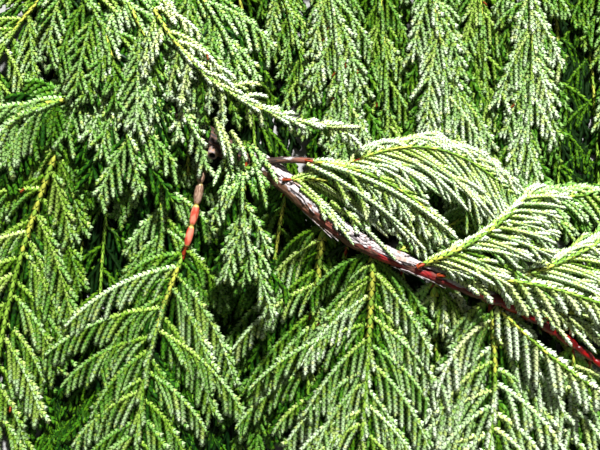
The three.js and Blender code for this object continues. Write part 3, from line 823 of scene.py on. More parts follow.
def growFingers(site, parent, lift, lighter):
    spray, rng = site["spray"], site["rng"]
    long = parent["long"]
    pitch = finger["pitch"] * spray["size"] * spray["apart"]
    weepSide = np.sign(degreesToWeep(parent["heading"])) or 1.0
    for side in (1, -1):
        distance = finger["first"] + (0.5 * pitch if side < 0 else 0)
        distance += rng.uniform(-finger["firstScatter"], finger["firstScatter"])
        while distance < long - finger["shortest"]:
            share = distance / long
            place, along = pointOn(parent, share, distance)
            length = min(finger["longest"], finger["share"] * long) * (1 - finger["taper"] * share)
            length *= spray["fingers"] * rng.uniform(*finger["lengths"])
            if side != weepSide:
                upTo = finger["upperUpTo"] / spray["straight"]
                length *= 1 - min(abs(degreesToWeep(along)) / upTo, 1)
            distance += pitch * rng.uniform(*finger["pitches"])
            if length < finger["shortest"]:
                continue
            heading = along + side * finger["angle"] + rng.normal(0, finger["scatter"])
            bend = bendOf(heading, spray["straight"] * rng.uniform(*finger["droop"]), finger["bend"])
            start = mix(*lift, share)
            kind = site["kinds"]["finger"]
            if kind == "finger" and rng.random() < finger["withered"]:
                kind = "withered"
                length = finger["shortest"]
                start += finger["witheredLift"]
            shoot = dict(root=place, heading=heading, bend=bend, long=length)
            addShoot(site, kind, shoot, (start, start + rng.normal(finger["sag"], finger["lift"])), lighter)


def growLateral(site, parent, lift, lighter=0.0):
    lighter += site["rng"].normal(0, lateral["own"])
    addShoot(site, site["kinds"]["lateral"], parent, lift, lighter + lateral["spine"], lateral["roll"])
    growFingers(site, parent, lift, lighter)


def sideShoot(site, along, turned, droop, most, long):  # one that leaves its spray's stem
    place, heading = stationAt(site["axis"], along / site["spray"]["long"])
    heading += turned
    return dict(root=place, heading=heading, bend=bendOf(heading, droop, most), long=long)


def walk(rng, rule, first, upTo, side=1):  # distances along a stem, on its sides in turn
    scatter = rule["pitchScatter"]
    along = first
    while along < upTo:
        yield along, side
        along += rule["pitch"] * (rng.uniform(1 - scatter, 1 + scatter) if scatter else 1)
        side = -side


def growShoulders(site):
    rng = site["rng"]
    wide = site["spray"]["wide"] * lateralEnvelope(0)
    side = 1 if rng.random() < 0.5 else -1
    for along, side in walk(rng, shoulder, shoulder["first"], shoulder["upTo"], side):
        parent = sideShoot(
            site, along, side * rng.uniform(*shoulder["angle"]), rng.uniform(*shoulder["droop"]),
            shoulder["bend"], wide * rng.uniform(*shoulder["share"]),
        )
        growLateral(site, parent, shoulder["lift"], -shoulder["darker"])


def growBetween(site):
    spray, rng = site["spray"], site["rng"]
    for along, side in walk(rng, between, between["first"], lastLateral(spray)):
        share = along / spray["long"]
        length = spray["wide"] * lateralEnvelope(share) * between["share"] * endsOf(spray, share)
        length *= 1 + between["wider"] * along / spray["long"]
        parent = sideShoot(
            site, along, side * between["angle"] * rng.uniform(*between["angles"]), between["droop"],
            between["bend"], length * rng.uniform(*between["lengths"]),
        )
        growLateral(site, parent, between["lift"], -between["darker"])


def growEnding(site):  # fills a low spray out where it ends
    long, rng = site["spray"]["long"], site["rng"]
    for along, side in walk(rng, ending, long - ending["from"], long):
        parent = sideShoot(
            site, along, side * rng.uniform(*ending["angle"]), ending["droop"], between["bend"],
            rng.uniform(*ending["long"]),
        )
        growLateral(site, parent, ending["lift"])


def growOverlay(site):  # hides parts of the stem
    spray, rng = site["spray"], site["rng"]
    for along, _ in walk(rng, overlay, spray["bare"] * spray["long"], lastLateral(spray)):
        turned = rng.uniform(-overlay["angle"], overlay["angle"])
        shoot = sideShoot(site, along, turned, 0, 0, rng.uniform(*overlay["long"]))
        addShoot(site, site["kinds"]["finger"], shoot, overlay["lift"])


def growFeather(site, name):
    spray, rng = site["spray"], site["rng"]
    low = site["kinds"] is coarse
    growShoulders(site)
    for parent in lateralsOf(site["axis"], seededNumbers(seedOf(name))):
        side = parent["side"]
        parent["heading"] += side * spray["wider"] + rng.normal(0, lateral["scatter"])
        parent["bend"] = bendOf(parent["heading"], rng.uniform(*lateral["droop"]), lateral["bend"])
        parent["long"] *= rng.uniform(*lateral["lengths"])
        growLateral(site, parent, (0.0, rng.normal(0, lateral["lift"])))
        if side == 0 or low or rng.random() > spray["paired"]:
            continue
        across = sideShoot(
            site, parent["along"] + opposite["further"],
            -side * (growth["lateralAngle"] + spray["wider"] + rng.normal(0, lateral["scatter"])),
            rng.uniform(*lateral["droop"]), lateral["bend"], parent["long"] * rng.uniform(*opposite["share"]),
        )
        growLateral(site, across, opposite["lift"], -opposite["darker"])
    growBetween(dict(site, kinds=coarse))
    growRopes(site, name)
    if low:
        growEnding(site)
    else:
        growOverlay(site)


def growForks(site, parent, droop, lift, lighter):  # small fingers on a long one
    rng = site["rng"]
    side = 1 if rng.random() < 0.5 else -1
    for share in comb["forks"]:
        at = share * rng.uniform(*comb["forkPlaces"])
        place, heading = pointOn(parent, at, at * parent["long"])
        heading += side * comb["forkAngle"] * rng.uniform(*comb["forkAngles"])
        length = max(finger["shortest"], comb["forkLength"] * (1 - comb["forkTaper"] * at) * parent["long"])
        height = mix(*lift, at)
        shoot = dict(root=place, heading=heading, bend=bendOf(heading, droop, comb["bend"]), long=length)
        tipHeight = height + rng.normal(comb["forkSag"], finger["lift"])
        addShoot(site, site["kinds"]["finger"], shoot, (height, tipHeight), lighter)
        side = -side


def growCombLayer(site, shape, sparser=1.0, sunk=0.0, darker=0.0):
    spray, rng = site["spray"], site["rng"]
    rule = dict(comb, pitch=shape["pitch"] * sparser)
    for side in (1, -1):
        first = comb["first"] + (0.5 * rule["pitch"] if side < 0 else 0)
        for along, _ in walk(rng, rule, first, spray["long"] - comb["shortOf"]):
            share = along / spray["long"]
            place, stemHeading = stationAt(site["axis"], share)
            towardsWeep = side == np.sign(degreesToWeep(stemHeading))
            angle, droop, part = shape["weep" if towardsWeep else "other"]
            heading = stemHeading + side * angle + rng.normal(0, comb["scatter"])
            droop *= rng.uniform(*comb["droops"])
            near = mix(shape["near"], 1.0, smoothStep(share, 0, comb["nearUpTo"]))
            length = spray["wide"] * lateralEnvelope(share) * part * near * rng.uniform(*comb["lengths"])
            length = max(length, 2 * finger["shortest"])
            shoot = dict(root=place, heading=heading, bend=bendOf(heading, droop, comb["bend"]), long=length)
            lift = (comb["rootSunk"] * sunk, rng.normal(comb["sag"], finger["lift"]) - sunk)
            addShoot(site, site["kinds"]["finger"], shoot, lift, -darker)
            if length > comb["forkFrom"] and rng.random() < shape.get("forked", comb["forked"]):
                growForks(site, shoot, droop, lift, -darker)


ropes = {  # single long fingers of a spray: where each starts, its heading, its bend and its length
    "center_spray": [
        ((-28, 38), -130, 26, 24), ((-27, 38), -112, 14, 32), ((-25, 38), -92, 2, 34),
        ((-24, 37), -66, -14, 32), ((-22, 36), -44, -24, 22),
    ],
    "arching_spray": [((-38, 48), -72, -6, 19), ((-36, 45), -62, -20, 20), ((-31, 42), -50, -24, 16)],
    "right_spray_low": [
        ((107, -37), -42, -14, 24), ((114, -39), -38, -12, 28), ((121, -42), -34, -14, 28),
        ((128, -45), -34, -12, 22),
    ],
    "middle_fan": [((0, 16.5), -38, -18, 36), ((13.5, 10.5), -34, -16, 40)],
    "upper_fan_fork": [((3, 27), -24, -24, 66), ((10, 27), -14, -30, 70)],
}
# darker is painted shade on the small forks, which lie a little under their rope.
ropeShape = {"lift": (1.5, 2.5), "forked": 0.6, "droop": 0.3, "forkLift": (1.2, 1.6), "darker": 0.05}


def growRopes(site, name):
    for root, heading, bend, long in ropes.get(name, []):
        rope = dict(root=np.array(root, float), heading=heading, bend=bend, long=long)
        addShoot(site, "lateral", rope, ropeShape["lift"], 0.0, lateral["roll"])
        forked = dict(rope, long=ropeShape["forked"] * long)
        growForks(site, forked, ropeShape["droop"], ropeShape["forkLift"], -ropeShape["darker"])


def growComb(site, name):
    growCombLayer(site, combs[name])
    growRopes(site, name)
    if name not in oneLayer:
        growCombLayer(dict(site, kinds=coarse), combs[name], **comb["under"])


stemColours = {
    "redUpTo": 7.0,  # millimetres
    "yellowUpTo": 0.45,  # of the stem
    "lime": 0.35,  # share of the scales
    "leafy": 0.3,
    "scatter": 0.02,
}


def stemTints(rng, marks, pairs, long):
    at = np.append(np.repeat(marks[1:-1], 2) + rng.normal(0, stemColours["scatter"], 2 * pairs), 1.0)
    chance = rng.random(2 * pairs + 1)
    row = np.where(chance < stemColours["lime"], tintOf["stem_lime"], tintOf["stem_yellow"])
    green = (at > stemColours["yellowUpTo"]) & (chance > 1 - 2 * stemColours["leafy"])
    row[green] = tintOf["warm_4"]
    row[at * long < stemColours["redUpTo"]] = tintOf["stem_red"]
    return row


def addStem(site, stems):
    spray, shape = site["spray"], shoots["stem"]
    leafyFrom = 1 - growth["terminalLength"] * growth["stemShort"] / spray["long"]
    pairs = max(4, round(spray["long"] * leafyFrom / shape["halfPitch"]))
    marks = np.arange(pairs + 2) / (pairs + 1)
    places, headings = stationAt(site["axis"], marks * leafyFrom)
    line = shootHeights(site, places, shape["lift"] * smoothStep(marks, 0, shape["rise"]))
    across, over = shootWays(line, headings, 0)
    slim = mix(1.0, shape["keep"], marks) * spray["stout"]
    tintRow = stemTints(site["rng"], marks, pairs, spray["long"])
    # painted shade in the steps behind the scales' tips
    groove = tintOf["groove_shade_warm"]
    addPlait(stems, line, across, over, shape["across"] * slim, shape["over"] * slim, tintRow, groove)


def growSpray(name, leaves, stems):
    spray = sprays[name]
    site = {
        "spray": spray,
        "axis": sprayAxis(spray),
        "rng": np.random.default_rng(seedOf(name)),
        "kinds": coarse if name.startswith(("low_", "shade_")) else fine,
        "leaves": leaves,
    }
    addStem(site, stems)
    if name in combs:
        growComb(site, name)
    else:
        growFeather(site, name)


def meshFromBatch(name, batch):
    points = toFrame(np.vstack(batch["points"]))
    triangles = np.vstack(batch["triangles"])
    mesh = bpy.data.meshes.new(name)
    mesh.vertices.add(len(points))
    mesh.vertices.foreach_set("co", points.ravel())
    mesh.loops.add(triangles.size)
    mesh.loops.foreach_set("vertex_index", triangles.ravel())
    mesh.polygons.add(len(triangles))
    mesh.polygons.foreach_set("loop_start", np.arange(0, triangles.size, 3))
    mesh.polygons.foreach_set("material_index", np.concatenate(batch["tints"]))
    mesh.update(calc_edges=True)
    for material in leafMaterials:
        mesh.materials.append(material)
    print(name, len(triangles), "triangles")
    return newObject(name, mesh)


leafGroups = {
    "front_leaves_upper": ["center_spray", "arching_spray", "upper_fan", "middle_fan"],
    "front_leaves_right": [
        "right_spray_near", "right_spray_far", "right_spray_front", "right_spray_low", "tip_spray",
        "hanging_spray_4", "hanging_spray_5",
    ],
    "hanging_leaves": ["hanging_spray_1", "hanging_spray_2", "hanging_spray_3", "lower_middle_spray"],
    "back_leaves_right": ["right_back_spray_1", "right_back_spray_2"],
    "upper_left_leaves": [
        "upper_spray_1", "upper_spray_2", "upper_spray_3", "upper_spray_4", "left_top_spray",
    ],
    "left_leaves": ["left_inner_spray", "left_side_spray", "left_low_spray", "far_left_spray"],
    "top_leaves": [f"top_spray_{k}" for k in range(1, 8)],
    "low_leaves_left": ["low_spray_1", "low_spray_2", "low_spray_6"],
    "low_leaves_right": ["low_spray_3", "low_spray_4", "low_spray_5", "low_spray_7"],
    "low_top_leaves": [f"low_top_spray_{k}" for k in range(1, 5)],
}
stems = newBatch()
for groupName, members in leafGroups.items():
    leaves = newBatch()
    for member in members + [name for name, fork in offshoots.items() if fork["of"] in members]:
        growSpray(member, leaves, stems)
    piece = meshFromBatch(groupName, leaves)
    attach(piece, "root")
    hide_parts(*members)
stemPiece = meshFromBatch("spray_stems", stems)
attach(stemPiece, "root")

# Bark. Each limb's skin is a sheet that is bent round the limb. Silver flakes cover the old wood,
# more of them towards the sky, and where one has gone the fibres under it show. plate is a flake's
# length and width. weathered are the shares of the limb over which the painted shade on its base ends;
# before them it carries no silver, and old bark's fibres are painted darker there. ripe and young are
# those between which it turns so.
skins = {
    "main_stem": dict(
        sides=80, ring=0.5, plate=(10, 2.9), crack=0.55, lump=0.5, flake=0.55,
        jointPitch=9.0, joint=0.36, weathered=(0.44, 0.49), neck=0.5, ripe=(0.5, 0.7), young=(0.77, 0.83),
    ),
    "upper_bough": dict(
        sides=28, ring=1.3, plate=(9, 2.6), crack=0.3, lump=0.2, flake=0.25,
        jointPitch=6.2, joint=0.16, weathered=(0.0, 0.1), neck=0.5, ripe=(0.2, 0.5), young=(0.6, 0.8),
    ),
    "far_left_twig": dict(
        sides=20, ring=0.4, plate=(4.0, 2.0), crack=0.04, lump=0.08, flake=0.0,
        jointPitch=6.5, joint=0.2, weathered=(0.0, 0.1), neck=0.5, ripe=(0.9, 1.0), young=(0.0, 0.1),
    ),
    "left_twig": dict(
        sides=20, ring=0.35, plate=(4.0, 2.0), crack=0.04, lump=0.08, flake=0.0,
        jointPitch=9.2, joint=0.55, weathered=(0.9, 1.0), neck=0.42, ripe=(0.6, 0.68), young=(0.2, 0.4),
    ),
    "side_twig": dict(
        sides=24, ring=0.4, plate=(5.0, 1.5), crack=0.2, lump=0.12, flake=0.25,
        jointPitch=6.5, joint=0.15, weathered=(0.2, 1.3), neck=0.5, ripe=(0.5, 1.1), young=(0.8, 1.1),
    ),
}
silverWay = Vector((0.1, 0.85, 0.5)).normalized()  # the side that the weather has turned silver
plates = {
    "seed": 1795701222,  # another number bends the plates' edges another way
    "warp": ((1.3, 0.45), (5.0, 0.09)),  # how fine those bends are, and how strong
    "edge": (0.02, 0.12),  # from the bottom of a crack to a plate's full height
    "cell": 7.3,  # fineness of the chance that a plate is covered
    "lift": 0.7,  # of a flake in the middle of its plate
    "patches": (0.3, 0.35),  # how fine the patches in the silver are, and how strong
    "silvered": (0.1, 0.6),
    "covered": 0.94,  # share of the plates where the silver is full
    "blend": 0.02,
    "lumps": (0.16, 0.6, 0.3),  # fineness of large and small lumps, and how low the small ones are
    "crackBare": 0.4,  # depth of a crack between bare plates, to that between covered ones
    "gapBare": 0.45,  # and how dark it is
    "gapYoung": 0.8,  # how much paler the cracks of young bark are
    "swell": (1.6, 1.1),  # how far a joint rises at its belly, and sinks at its neck
}
noise.seed_set(plates["seed"])  # unseeded, the clock would bend them another way in each run


def limbLength(limb):
    marks = curveAt(limb["points"], np.linspace(0, 1, 400))
    return float(np.linalg.norm(np.diff(marks, axis=0), axis=1).sum())


def jointBelly(skin, distance, long):  # from 0 at a neck to 1 in the middle of a joint
    place = ((long - distance) / skin["jointPitch"]) % 1.0
    return math.sin(math.pi * place) ** skin["neck"]


def barkPlate(skin, around, distance, radius):
    # How far a place is inside its plate of bark, from 0 in the crack, how much the plate lifts
    # towards one end, and the plate's own chance number.
    plateLong, plateWide = skin["plate"]
    spot = Vector((
        math.cos(around) * radius / plateWide, math.sin(around) * radius / plateWide, distance / plateLong
    ))
    (broad, strong), (small, weak) = plates["warp"]
    spot += noise.noise_vector(spot * broad) * strong + noise.noise_vector(spot * small) * weak
    distances, centres = noise.voronoi(spot)
    inside = float(smoothStep(distances[1] - distances[0], *plates["edge"]))
    chance = noise.cell(centres[0] * plates["cell"]) * 0.5 + 0.5
    ramp = (spot - centres[0]).z
    return inside, plates["lift"] + ramp, chance


def closeHoles(sheet):
    rims = [edge for edge in sheet.edges if edge.is_boundary]
    return bmesh.ops.holes_fill(sheet, edges=rims, sides=0)["faces"]


def limbSkin(name):
    limb = limbs[name]
    skin = skins[name]
    long = limbLength(limb)
    rings = round(long / skin["ring"])
    sheet = bmesh.new()
    bmesh.ops.create_grid(sheet, x_segments=skin["sides"], y_segments=rings, size=0.5)
    space = sheet.verts.layers.float_vector.new("barkSpace")
    layerNames = ("gap", "cover", "young", "ripe", "belly", "unshaded")
    layers = [sheet.verts.layers.float.new(key) for key in layerNames]
    alongs = np.array([v.co.y + 0.5 for v in sheet.verts])
    place, across, over = limbFrames(limb, alongs)
    youth = smoothStep(alongs, *skin["young"])
    ripeness = smoothStep(alongs, *skin["ripe"])
    patchFine, patchStrong = plates["patches"]
    lumpBroad, lumpSmall, lumpLow = plates["lumps"]
    rise, sink = plates["swell"]
    for index, corner in enumerate(sheet.verts):
        along = float(alongs[index])
        young = float(youth[index])
        around = (corner.co.x + 0.5) * 2 * math.pi
        distance = along * long
        radius = float(limbRadius(limb, along))
        out = Vector(across[index]) * math.cos(around) + Vector(over[index]) * math.sin(around)
        flat = Vector((math.cos(around) * radius, math.sin(around) * radius, distance))
        inside, ramp, chance = barkPlate(skin, around, distance, radius)
        silver = out.dot(silverWay) + patchStrong * noise.noise(flat * patchFine)
        # Painted shade on the limb's base: from 0 to 1 over the weathered shares, with no silver in it.
        unshaded = float(smoothStep(along, *skin["weathered"]))
        reach = float(smoothStep(silver, *plates["silvered"])) * unshaded * (1 - young)
        cover = float(smoothStep(plates["covered"] * reach - chance, -plates["blend"], plates["blend"]))
        belly = jointBelly(skin, distance, long)
        lump = noise.noise(flat * lumpBroad) * skin["lump"]
        lump += noise.noise(flat * lumpSmall) * skin["lump"] * lumpLow
        relief = lump + cover * skin["flake"] * ramp * inside
        relief -= (1 - young) * skin["crack"] * (1 - inside) * mix(plates["crackBare"], 1.0, cover)
        swell = 1 + young * skin["joint"] * (rise * belly - sink)
        corner.co = Vector(place[index]) + out * (radius * swell + relief)
        corner[space] = flat
        gap = (1 - inside) * (1 - plates["gapYoung"] * young) * mix(plates["gapBare"], 1.0, cover)
        for layer, value in zip(layers, (gap, cover, young, float(ripeness[index]), belly, unshaded)):
            corner[layer] = value
    bmesh.ops.remove_doubles(sheet, verts=sheet.verts, dist=0.01)
    caps = closeHoles(sheet)
    bmesh.ops.recalc_face_normals(sheet, faces=sheet.faces)
    bmesh.ops.split_edges(sheet, edges=[edge for cap in caps for edge in cap.edges])
    for cap in caps:
        cap.material_index = 1
    return sheet


# Flakes that stand off the stem: strips with pointed ends, bent round it and lifted at one end.
flakes = {
    "count": 34,
    "alongs": (0.48, 0.76),
    "long": (6, 15),
    "wide": (1.0, 2.3),
    "pointed": (0.06, 0.6),  # what is left of its width at an end, and how blunt that end is
    "ragged": (6, 0.35),  # how fine the ragged sides are, and how strong
    "skew": 0.5,
    "thick": 0.22,
    "lift": (0.4, 1.2),
    "liftPower": 2.2,
    "curl": 0.12,  # of its lift, at its sides
    "seat": 0.25,  # how far the other end is clear of the stem's middle radius
    "turns": (0.0, 0.9),  # round the stem, in quarter turns from its sunny edge over its top
    "edge": (1.75, 2.0),  # and of those along its lower edge
    "edged": 0.2,  # their share
}


def addFlake(sheet, limb, rng, along, around, long, wide, lift):
    made = bmesh.ops.create_grid(sheet, x_segments=4, y_segments=14, size=0.5)["verts"]
    reach = long / limbLength(limb)
    skew = rng.uniform(-flakes["skew"], flakes["skew"])
    ragged = rng.uniform(0, 100)
    pointed, blunt = flakes["pointed"]
    small, strong = flakes["ragged"]
    for corner in made:
        share = corner.co.y + 0.5
        aside = corner.co.x * wide * math.sin(math.pi * mix(pointed, 1 - pointed, share)) ** blunt
        aside += strong * noise.noise(Vector((ragged, share * small, corner.co.x)))
        at = float(np.clip(along + (share - 0.5) * reach, 0, 1))
        place, across, over = (Vector(part[0]) for part in limbFrames(limb, np.array([at])))
        radius = float(limbRadius(limb, at)) + flakes["seat"]
        turned = around + (aside + skew * (share - 0.5) * wide) / radius
        rise = lift * share ** flakes["liftPower"] + flakes["curl"] * lift * abs(corner.co.x) * 2
        corner.co = place + (across * math.cos(turned) + over * math.sin(turned)) * (radius + rise)


def flakeSheet():
    sheet = bmesh.new()
    rng = np.random.default_rng(seedOf("flakes"))
    for _ in range(flakes["count"]):
        along = rng.uniform(*flakes["alongs"])
        around = math.pi / 2 * rng.uniform(*flakes["edge" if rng.random() < flakes["edged"] else "turns"])
        size = [rng.uniform(*flakes[key]) for key in ("long", "wide", "lift")]
        addFlake(sheet, limbs["main_stem"], rng, along, around, *size)
    bmesh.ops.solidify(sheet, geom=sheet.faces, thickness=flakes["thick"])
    bmesh.ops.recalc_face_normals(sheet, faces=sheet.faces)
    return sheet


# The knot: a hollow stub under the stem, where a twig broke off.
knot = {
    "along": 0.392,
    "way": (-0.12, -0.72, 0.68),
    "radius": 2.2,
    "long": 9,  # from the stem's middle line
    "rim": 0.7,
    "hollow": 2.4,
    "sides": 24,
    "ragged": (0.16, 0.35),  # of its radius, and in height
}


def knotSheet():
    radius, long, rim = knot["radius"], knot["long"], knot["rim"]
    sheet = bmesh.new()
    bmesh.ops.create_circle(sheet, cap_ends=False, segments=knot["sides"], radius=radius * 1.3)
    edges = list(sheet.edges)
    for high, wide in (  # height and radius of each ring, up the outside, over the rim and down inside
        (long * 0.55, radius * 1.02),
        (long * 0.8, radius * 1.08),
        (long, radius),
        (long - 0.1, radius - rim),
        (long - 0.8, radius - rim * 1.5),
        (long - knot["hollow"], radius * 0.3),
    ):
        grown = bmesh.ops.extrude_edge_only(sheet, edges=edges)["geom"]
        edges = [item for item in grown if isinstance(item, bmesh.types.BMEdge)]
        for corner in (item for item in grown if isinstance(item, bmesh.types.BMVert)):
            flat = Vector((corner.co.x, corner.co.y, 0)).normalized()
            ragged = 1 + knot["ragged"][0] * noise.noise(flat * 2.3 + Vector((0, 0, high * 0.4)))
            corner.co = flat * wide * ragged
            corner.co.z = high + knot["ragged"][1] * noise.noise(flat * 3.1)
    closeHoles(sheet)
    bmesh.ops.subdivide_edges(sheet, edges=sheet.edges[:], cuts=1, use_grid_fill=True, smooth=0.4)
    bmesh.ops.recalc_face_normals(sheet, faces=sheet.faces)
    depth = sheet.verts.layers.float.new("gap")
    for corner in sheet.verts:
        inner = math.hypot(corner.co.x, corner.co.y) < radius - rim * 1.2
        corner[depth] = 1.0 if inner and corner.co.z > long * 0.5 else 0.0
    turn = Vector(knot["way"]).normalized().to_track_quat("Z", "Y").to_matrix().to_4x4()
    bmesh.ops.transform(sheet, matrix=turn, verts=sheet.verts)
    root = curveAt(limbs["main_stem"]["points"], knot["along"])[0]
    bmesh.ops.translate(sheet, vec=Vector(root), verts=sheet.verts)
    return sheet


def pieceFromSheet(name, sheet, materials):
    for corner in sheet.verts:
        corner.co = (corner.co - Vector(drawingZero)) * millimetre
    for face in sheet.faces:
        face.smooth = len(face.verts) <= 4
    mesh = bpy.data.meshes.new(name)
    sheet.to_mesh(mesh)
    sheet.free()
    for material in materials:
        mesh.materials.append(material)
    print(name, len(mesh.polygons), "faces")
    return newObject(name, mesh)


# Finishes of wood


def feed(tree, socket, value):  # a fixed value, or another node's output
    if isinstance(value, bpy.types.NodeSocket):
        tree.links.new(value, socket)
    else:
        socket.default_value = value


def addNode(tree, kind, values, **settings):  # values go to the inputs by name or place
    node = tree.nodes.new(kind)
    for key, value in settings.items():
        setattr(node, key, value)
    for key, value in values.items():
        feed(tree, node.inputs[key], value)
    return node


def attributeOf(tree, name):
    node = addNode(tree, "ShaderNodeAttribute", {}, attribute_name=name)
    return node.outputs["Vector" if name == "barkSpace" else "Fac"]


def mathOf(tree, operation, a, b, clamp=False):
    return addNode(tree, "ShaderNodeMath", {0: a, 1: b}, operation=operation, use_clamp=clamp).outputs[0]


def rangeOf(tree, value, low, high, toLow=0.0, toHigh=1.0):
    values = {"Value": value, "From Min": low, "From Max": high, "To Min": toLow, "To Max": toHigh}
    return addNode(tree, "ShaderNodeMapRange", values, interpolation_type="SMOOTHSTEP").outputs["Result"]


def mixOf(tree, share, a, b):
    return addNode(tree, "ShaderNodeMix", {0: share, 6: a, 7: b}, data_type="RGBA").outputs[2]


def newGroup(name, inputs, output):  # its tree, its inputs and its one output
    tree = bpy.data.node_groups.new(name, "ShaderNodeTree")
    for label, kind in inputs.items():
        tree.interface.new_socket(label, in_out="INPUT", socket_type="NodeSocket" + kind)
    tree.interface.new_socket(output[0], in_out="OUTPUT", socket_type="NodeSocket" + output[1])
    return tree, tree.nodes.new("NodeGroupInput").outputs, tree.nodes.new("NodeGroupOutput").inputs[0]


def grainGroup():  # noise that is drawn out along the wood
    inputs = {"Space": "Vector", "Stretch": "Vector", "Scale": "Float", "Detail": "Float"}
    tree, given, result = newGroup("grain", inputs, ("Grain", "Float"))
    drawnOut = addNode(tree, "ShaderNodeMapping", {"Vector": given["Space"], "Scale": given["Stretch"]})
    values = {"Vector": drawnOut.outputs[0], "Scale": given["Scale"], "Detail": given["Detail"]}
    feed(tree, result, addNode(tree, "ShaderNodeTexNoise", values).outputs["Fac"])
    return tree


def twoTonesGroup():  # one tone that turns into another where a mask rises
    inputs = {"Mask": "Float", "From": "Float", "To": "Float", "Tone": "Color", "Other Tone": "Color"}
    tree, given, result = newGroup("two_tones", inputs, ("Tone", "Color"))
    share = rangeOf(tree, given["Mask"], given["From"], given["To"])
    feed(tree, result, mixOf(tree, share, given["Tone"], given["Other Tone"]))
    return tree


def reliefGroup():  # fine roughness under the light
    inputs = {"Height": "Float", "Strength": "Float", "Distance": "Float"}
    tree, given, result = newGroup("relief", inputs, ("Normal", "Vector"))
    feed(tree, result, addNode(tree, "ShaderNodeBump", {key: given[key] for key in inputs}).outputs["Normal"])
    return tree


groups = {"grain": grainGroup(), "twoTones": twoTonesGroup(), "relief": reliefGroup()}


def groupOf(tree, name, values):
    return addNode(tree, "ShaderNodeGroup", values, node_tree=groups[name]).outputs[0]


def grainOf(tree, space, scale, detail, stretch=(1, 1, 1)):
    return groupOf(tree, "grain", {"Space": space, "Scale": scale, "Detail": detail, "Stretch": stretch})


def tonesOf(tree, mask, low, high, tone, other):
    values = {"Mask": mask, "From": low, "To": high, "Tone": tone, "Other Tone": other}
    return groupOf(tree, "twoTones", values)


def finish(tree, shader, tone, roughness, height=None, strength=0.0, distance=0.0):
    feed(tree, shader.inputs["Base Color"], tone)
    feed(tree, shader.inputs["Roughness"], roughness)
    if height:
        values = {"Height": height, "Strength": strength, "Distance": distance * millimetre}
        feed(tree, shader.inputs["Normal"], groupOf(tree, "relief", values))


barkColours = {
    "crack": (26, 17, 13),
    "brown": (84, 56, 38),
    "tan": (124, 95, 70),
    "silver": (186, 179, 179),
    "lilac": (128, 115, 113),
    "red": (142, 14, 14),
    "darkRed": (72, 8, 10),
    "sapwood": (196, 168, 118),
    "latewood": (156, 120, 74),
}
wood = {key: colour(*value) for key, value in barkColours.items()}


def barkMaterial(name):
    material, tree, shader = newMaterial(name)
    space, gap, cover, young, ripe, unshaded = (
        attributeOf(tree, key) for key in ("barkSpace", "gap", "cover", "young", "ripe", "unshaded")
    )
    fibre = grainOf(tree, space, 1.1, 5, (1, 1, 0.14))
    patch = grainOf(tree, space, 0.32, 4, (1, 1, 0.4))
    fine = grainOf(tree, space, 3.2, 3, (1, 1, 0.3))
    # Painted shade: old bark's fibres at a limb's base are painted darker.
    shadedFibre = tonesOf(tree, fibre, 0.42, 0.62, wood["crack"], wood["brown"])
    unshadedFibre = tonesOf(tree, fibre, 0.4, 0.6, wood["brown"], wood["tan"])
    weathered = tonesOf(tree, fine, 0.38, 0.6, wood["lilac"], wood["silver"])
    fresh = tonesOf(tree, patch, 0.4, 0.62, wood["darkRed"], wood["red"])
    reddened = mathOf(tree, "MULTIPLY", ripe, rangeOf(tree, patch, 0.3, 0.55, 0.35, 1.0), True)
    bare = mixOf(tree, mathOf(tree, "MAXIMUM", reddened, young), mixOf(tree, unshaded, shadedFibre, unshadedFibre), fresh)
    tone = mixOf(tree, gap, mixOf(tree, cover, bare, weathered), wood["crack"])
    roughness = rangeOf(tree, young, 0.2, 0.9, 0.74, 0.3)
    finish(tree, shader, tone, roughness, mathOf(tree, "ADD", fibre, fine), 0.5, 0.3)
    return material


def sawnMaterial(name):  # the wood inside a limb, with its rings and a dark heart
    material, tree, shader = newMaterial(name)
    space = attributeOf(tree, "barkSpace")
    flat = addNode(tree, "ShaderNodeVectorMath", {0: space, 1: (1, 1, 0)}, operation="MULTIPLY")
    radius = addNode(tree, "ShaderNodeVectorMath", {0: flat.outputs[0]}, operation="LENGTH").outputs["Value"]
    wobble = grainOf(tree, space, 0.6, 3)
    rings = mathOf(tree, "MULTIPLY", radius, 9.0)
    turned = mathOf(tree, "ADD", rings, mathOf(tree, "MULTIPLY", wobble, 4.0))
    woody = tonesOf(tree, mathOf(tree, "SINE", turned, 0.0), -1.0, 1.0, wood["sapwood"], wood["latewood"])
    tone = tonesOf(tree, radius, 1.2, 0.4, woody, wood["brown"])
    finish(tree, shader, tone, rangeOf(tree, wobble, 0.3, 0.7, 0.65, 0.8))
    return material


def flakeMaterial(name):
    material, tree, shader = newMaterial(name)
    space = tree.nodes.new("ShaderNodeTexCoord").outputs["Object"]
    fine = grainOf(tree, space, 900, 3)
    pale = tonesOf(tree, fine, 0.4, 0.62, wood["lilac"], wood["silver"])
    stained = rangeOf(tree, grainOf(tree, space, 160, 3), 0.5, 0.7, 0.0, 0.7)
    tone = mixOf(tree, stained, pale, wood["tan"])
    finish(tree, shader, tone, rangeOf(tree, fine, 0.3, 0.7, 0.6, 0.85), fine, 0.4, 0.2)
    return material


def knotMaterial(name):
    material, tree, shader = newMaterial(name)
    fine = grainOf(tree, tree.nodes.new("ShaderNodeTexCoord").outputs["Object"], 700, 4)
    woody = tonesOf(tree, fine, 0.4, 0.6, wood["tan"], wood["lilac"])
    tone = mixOf(tree, attributeOf(tree, "gap"), woody, wood["crack"])
    finish(tree, shader, tone, rangeOf(tree, fine, 0.3, 0.7, 0.6, 0.85), fine, 0.5, 0.4)
    return material


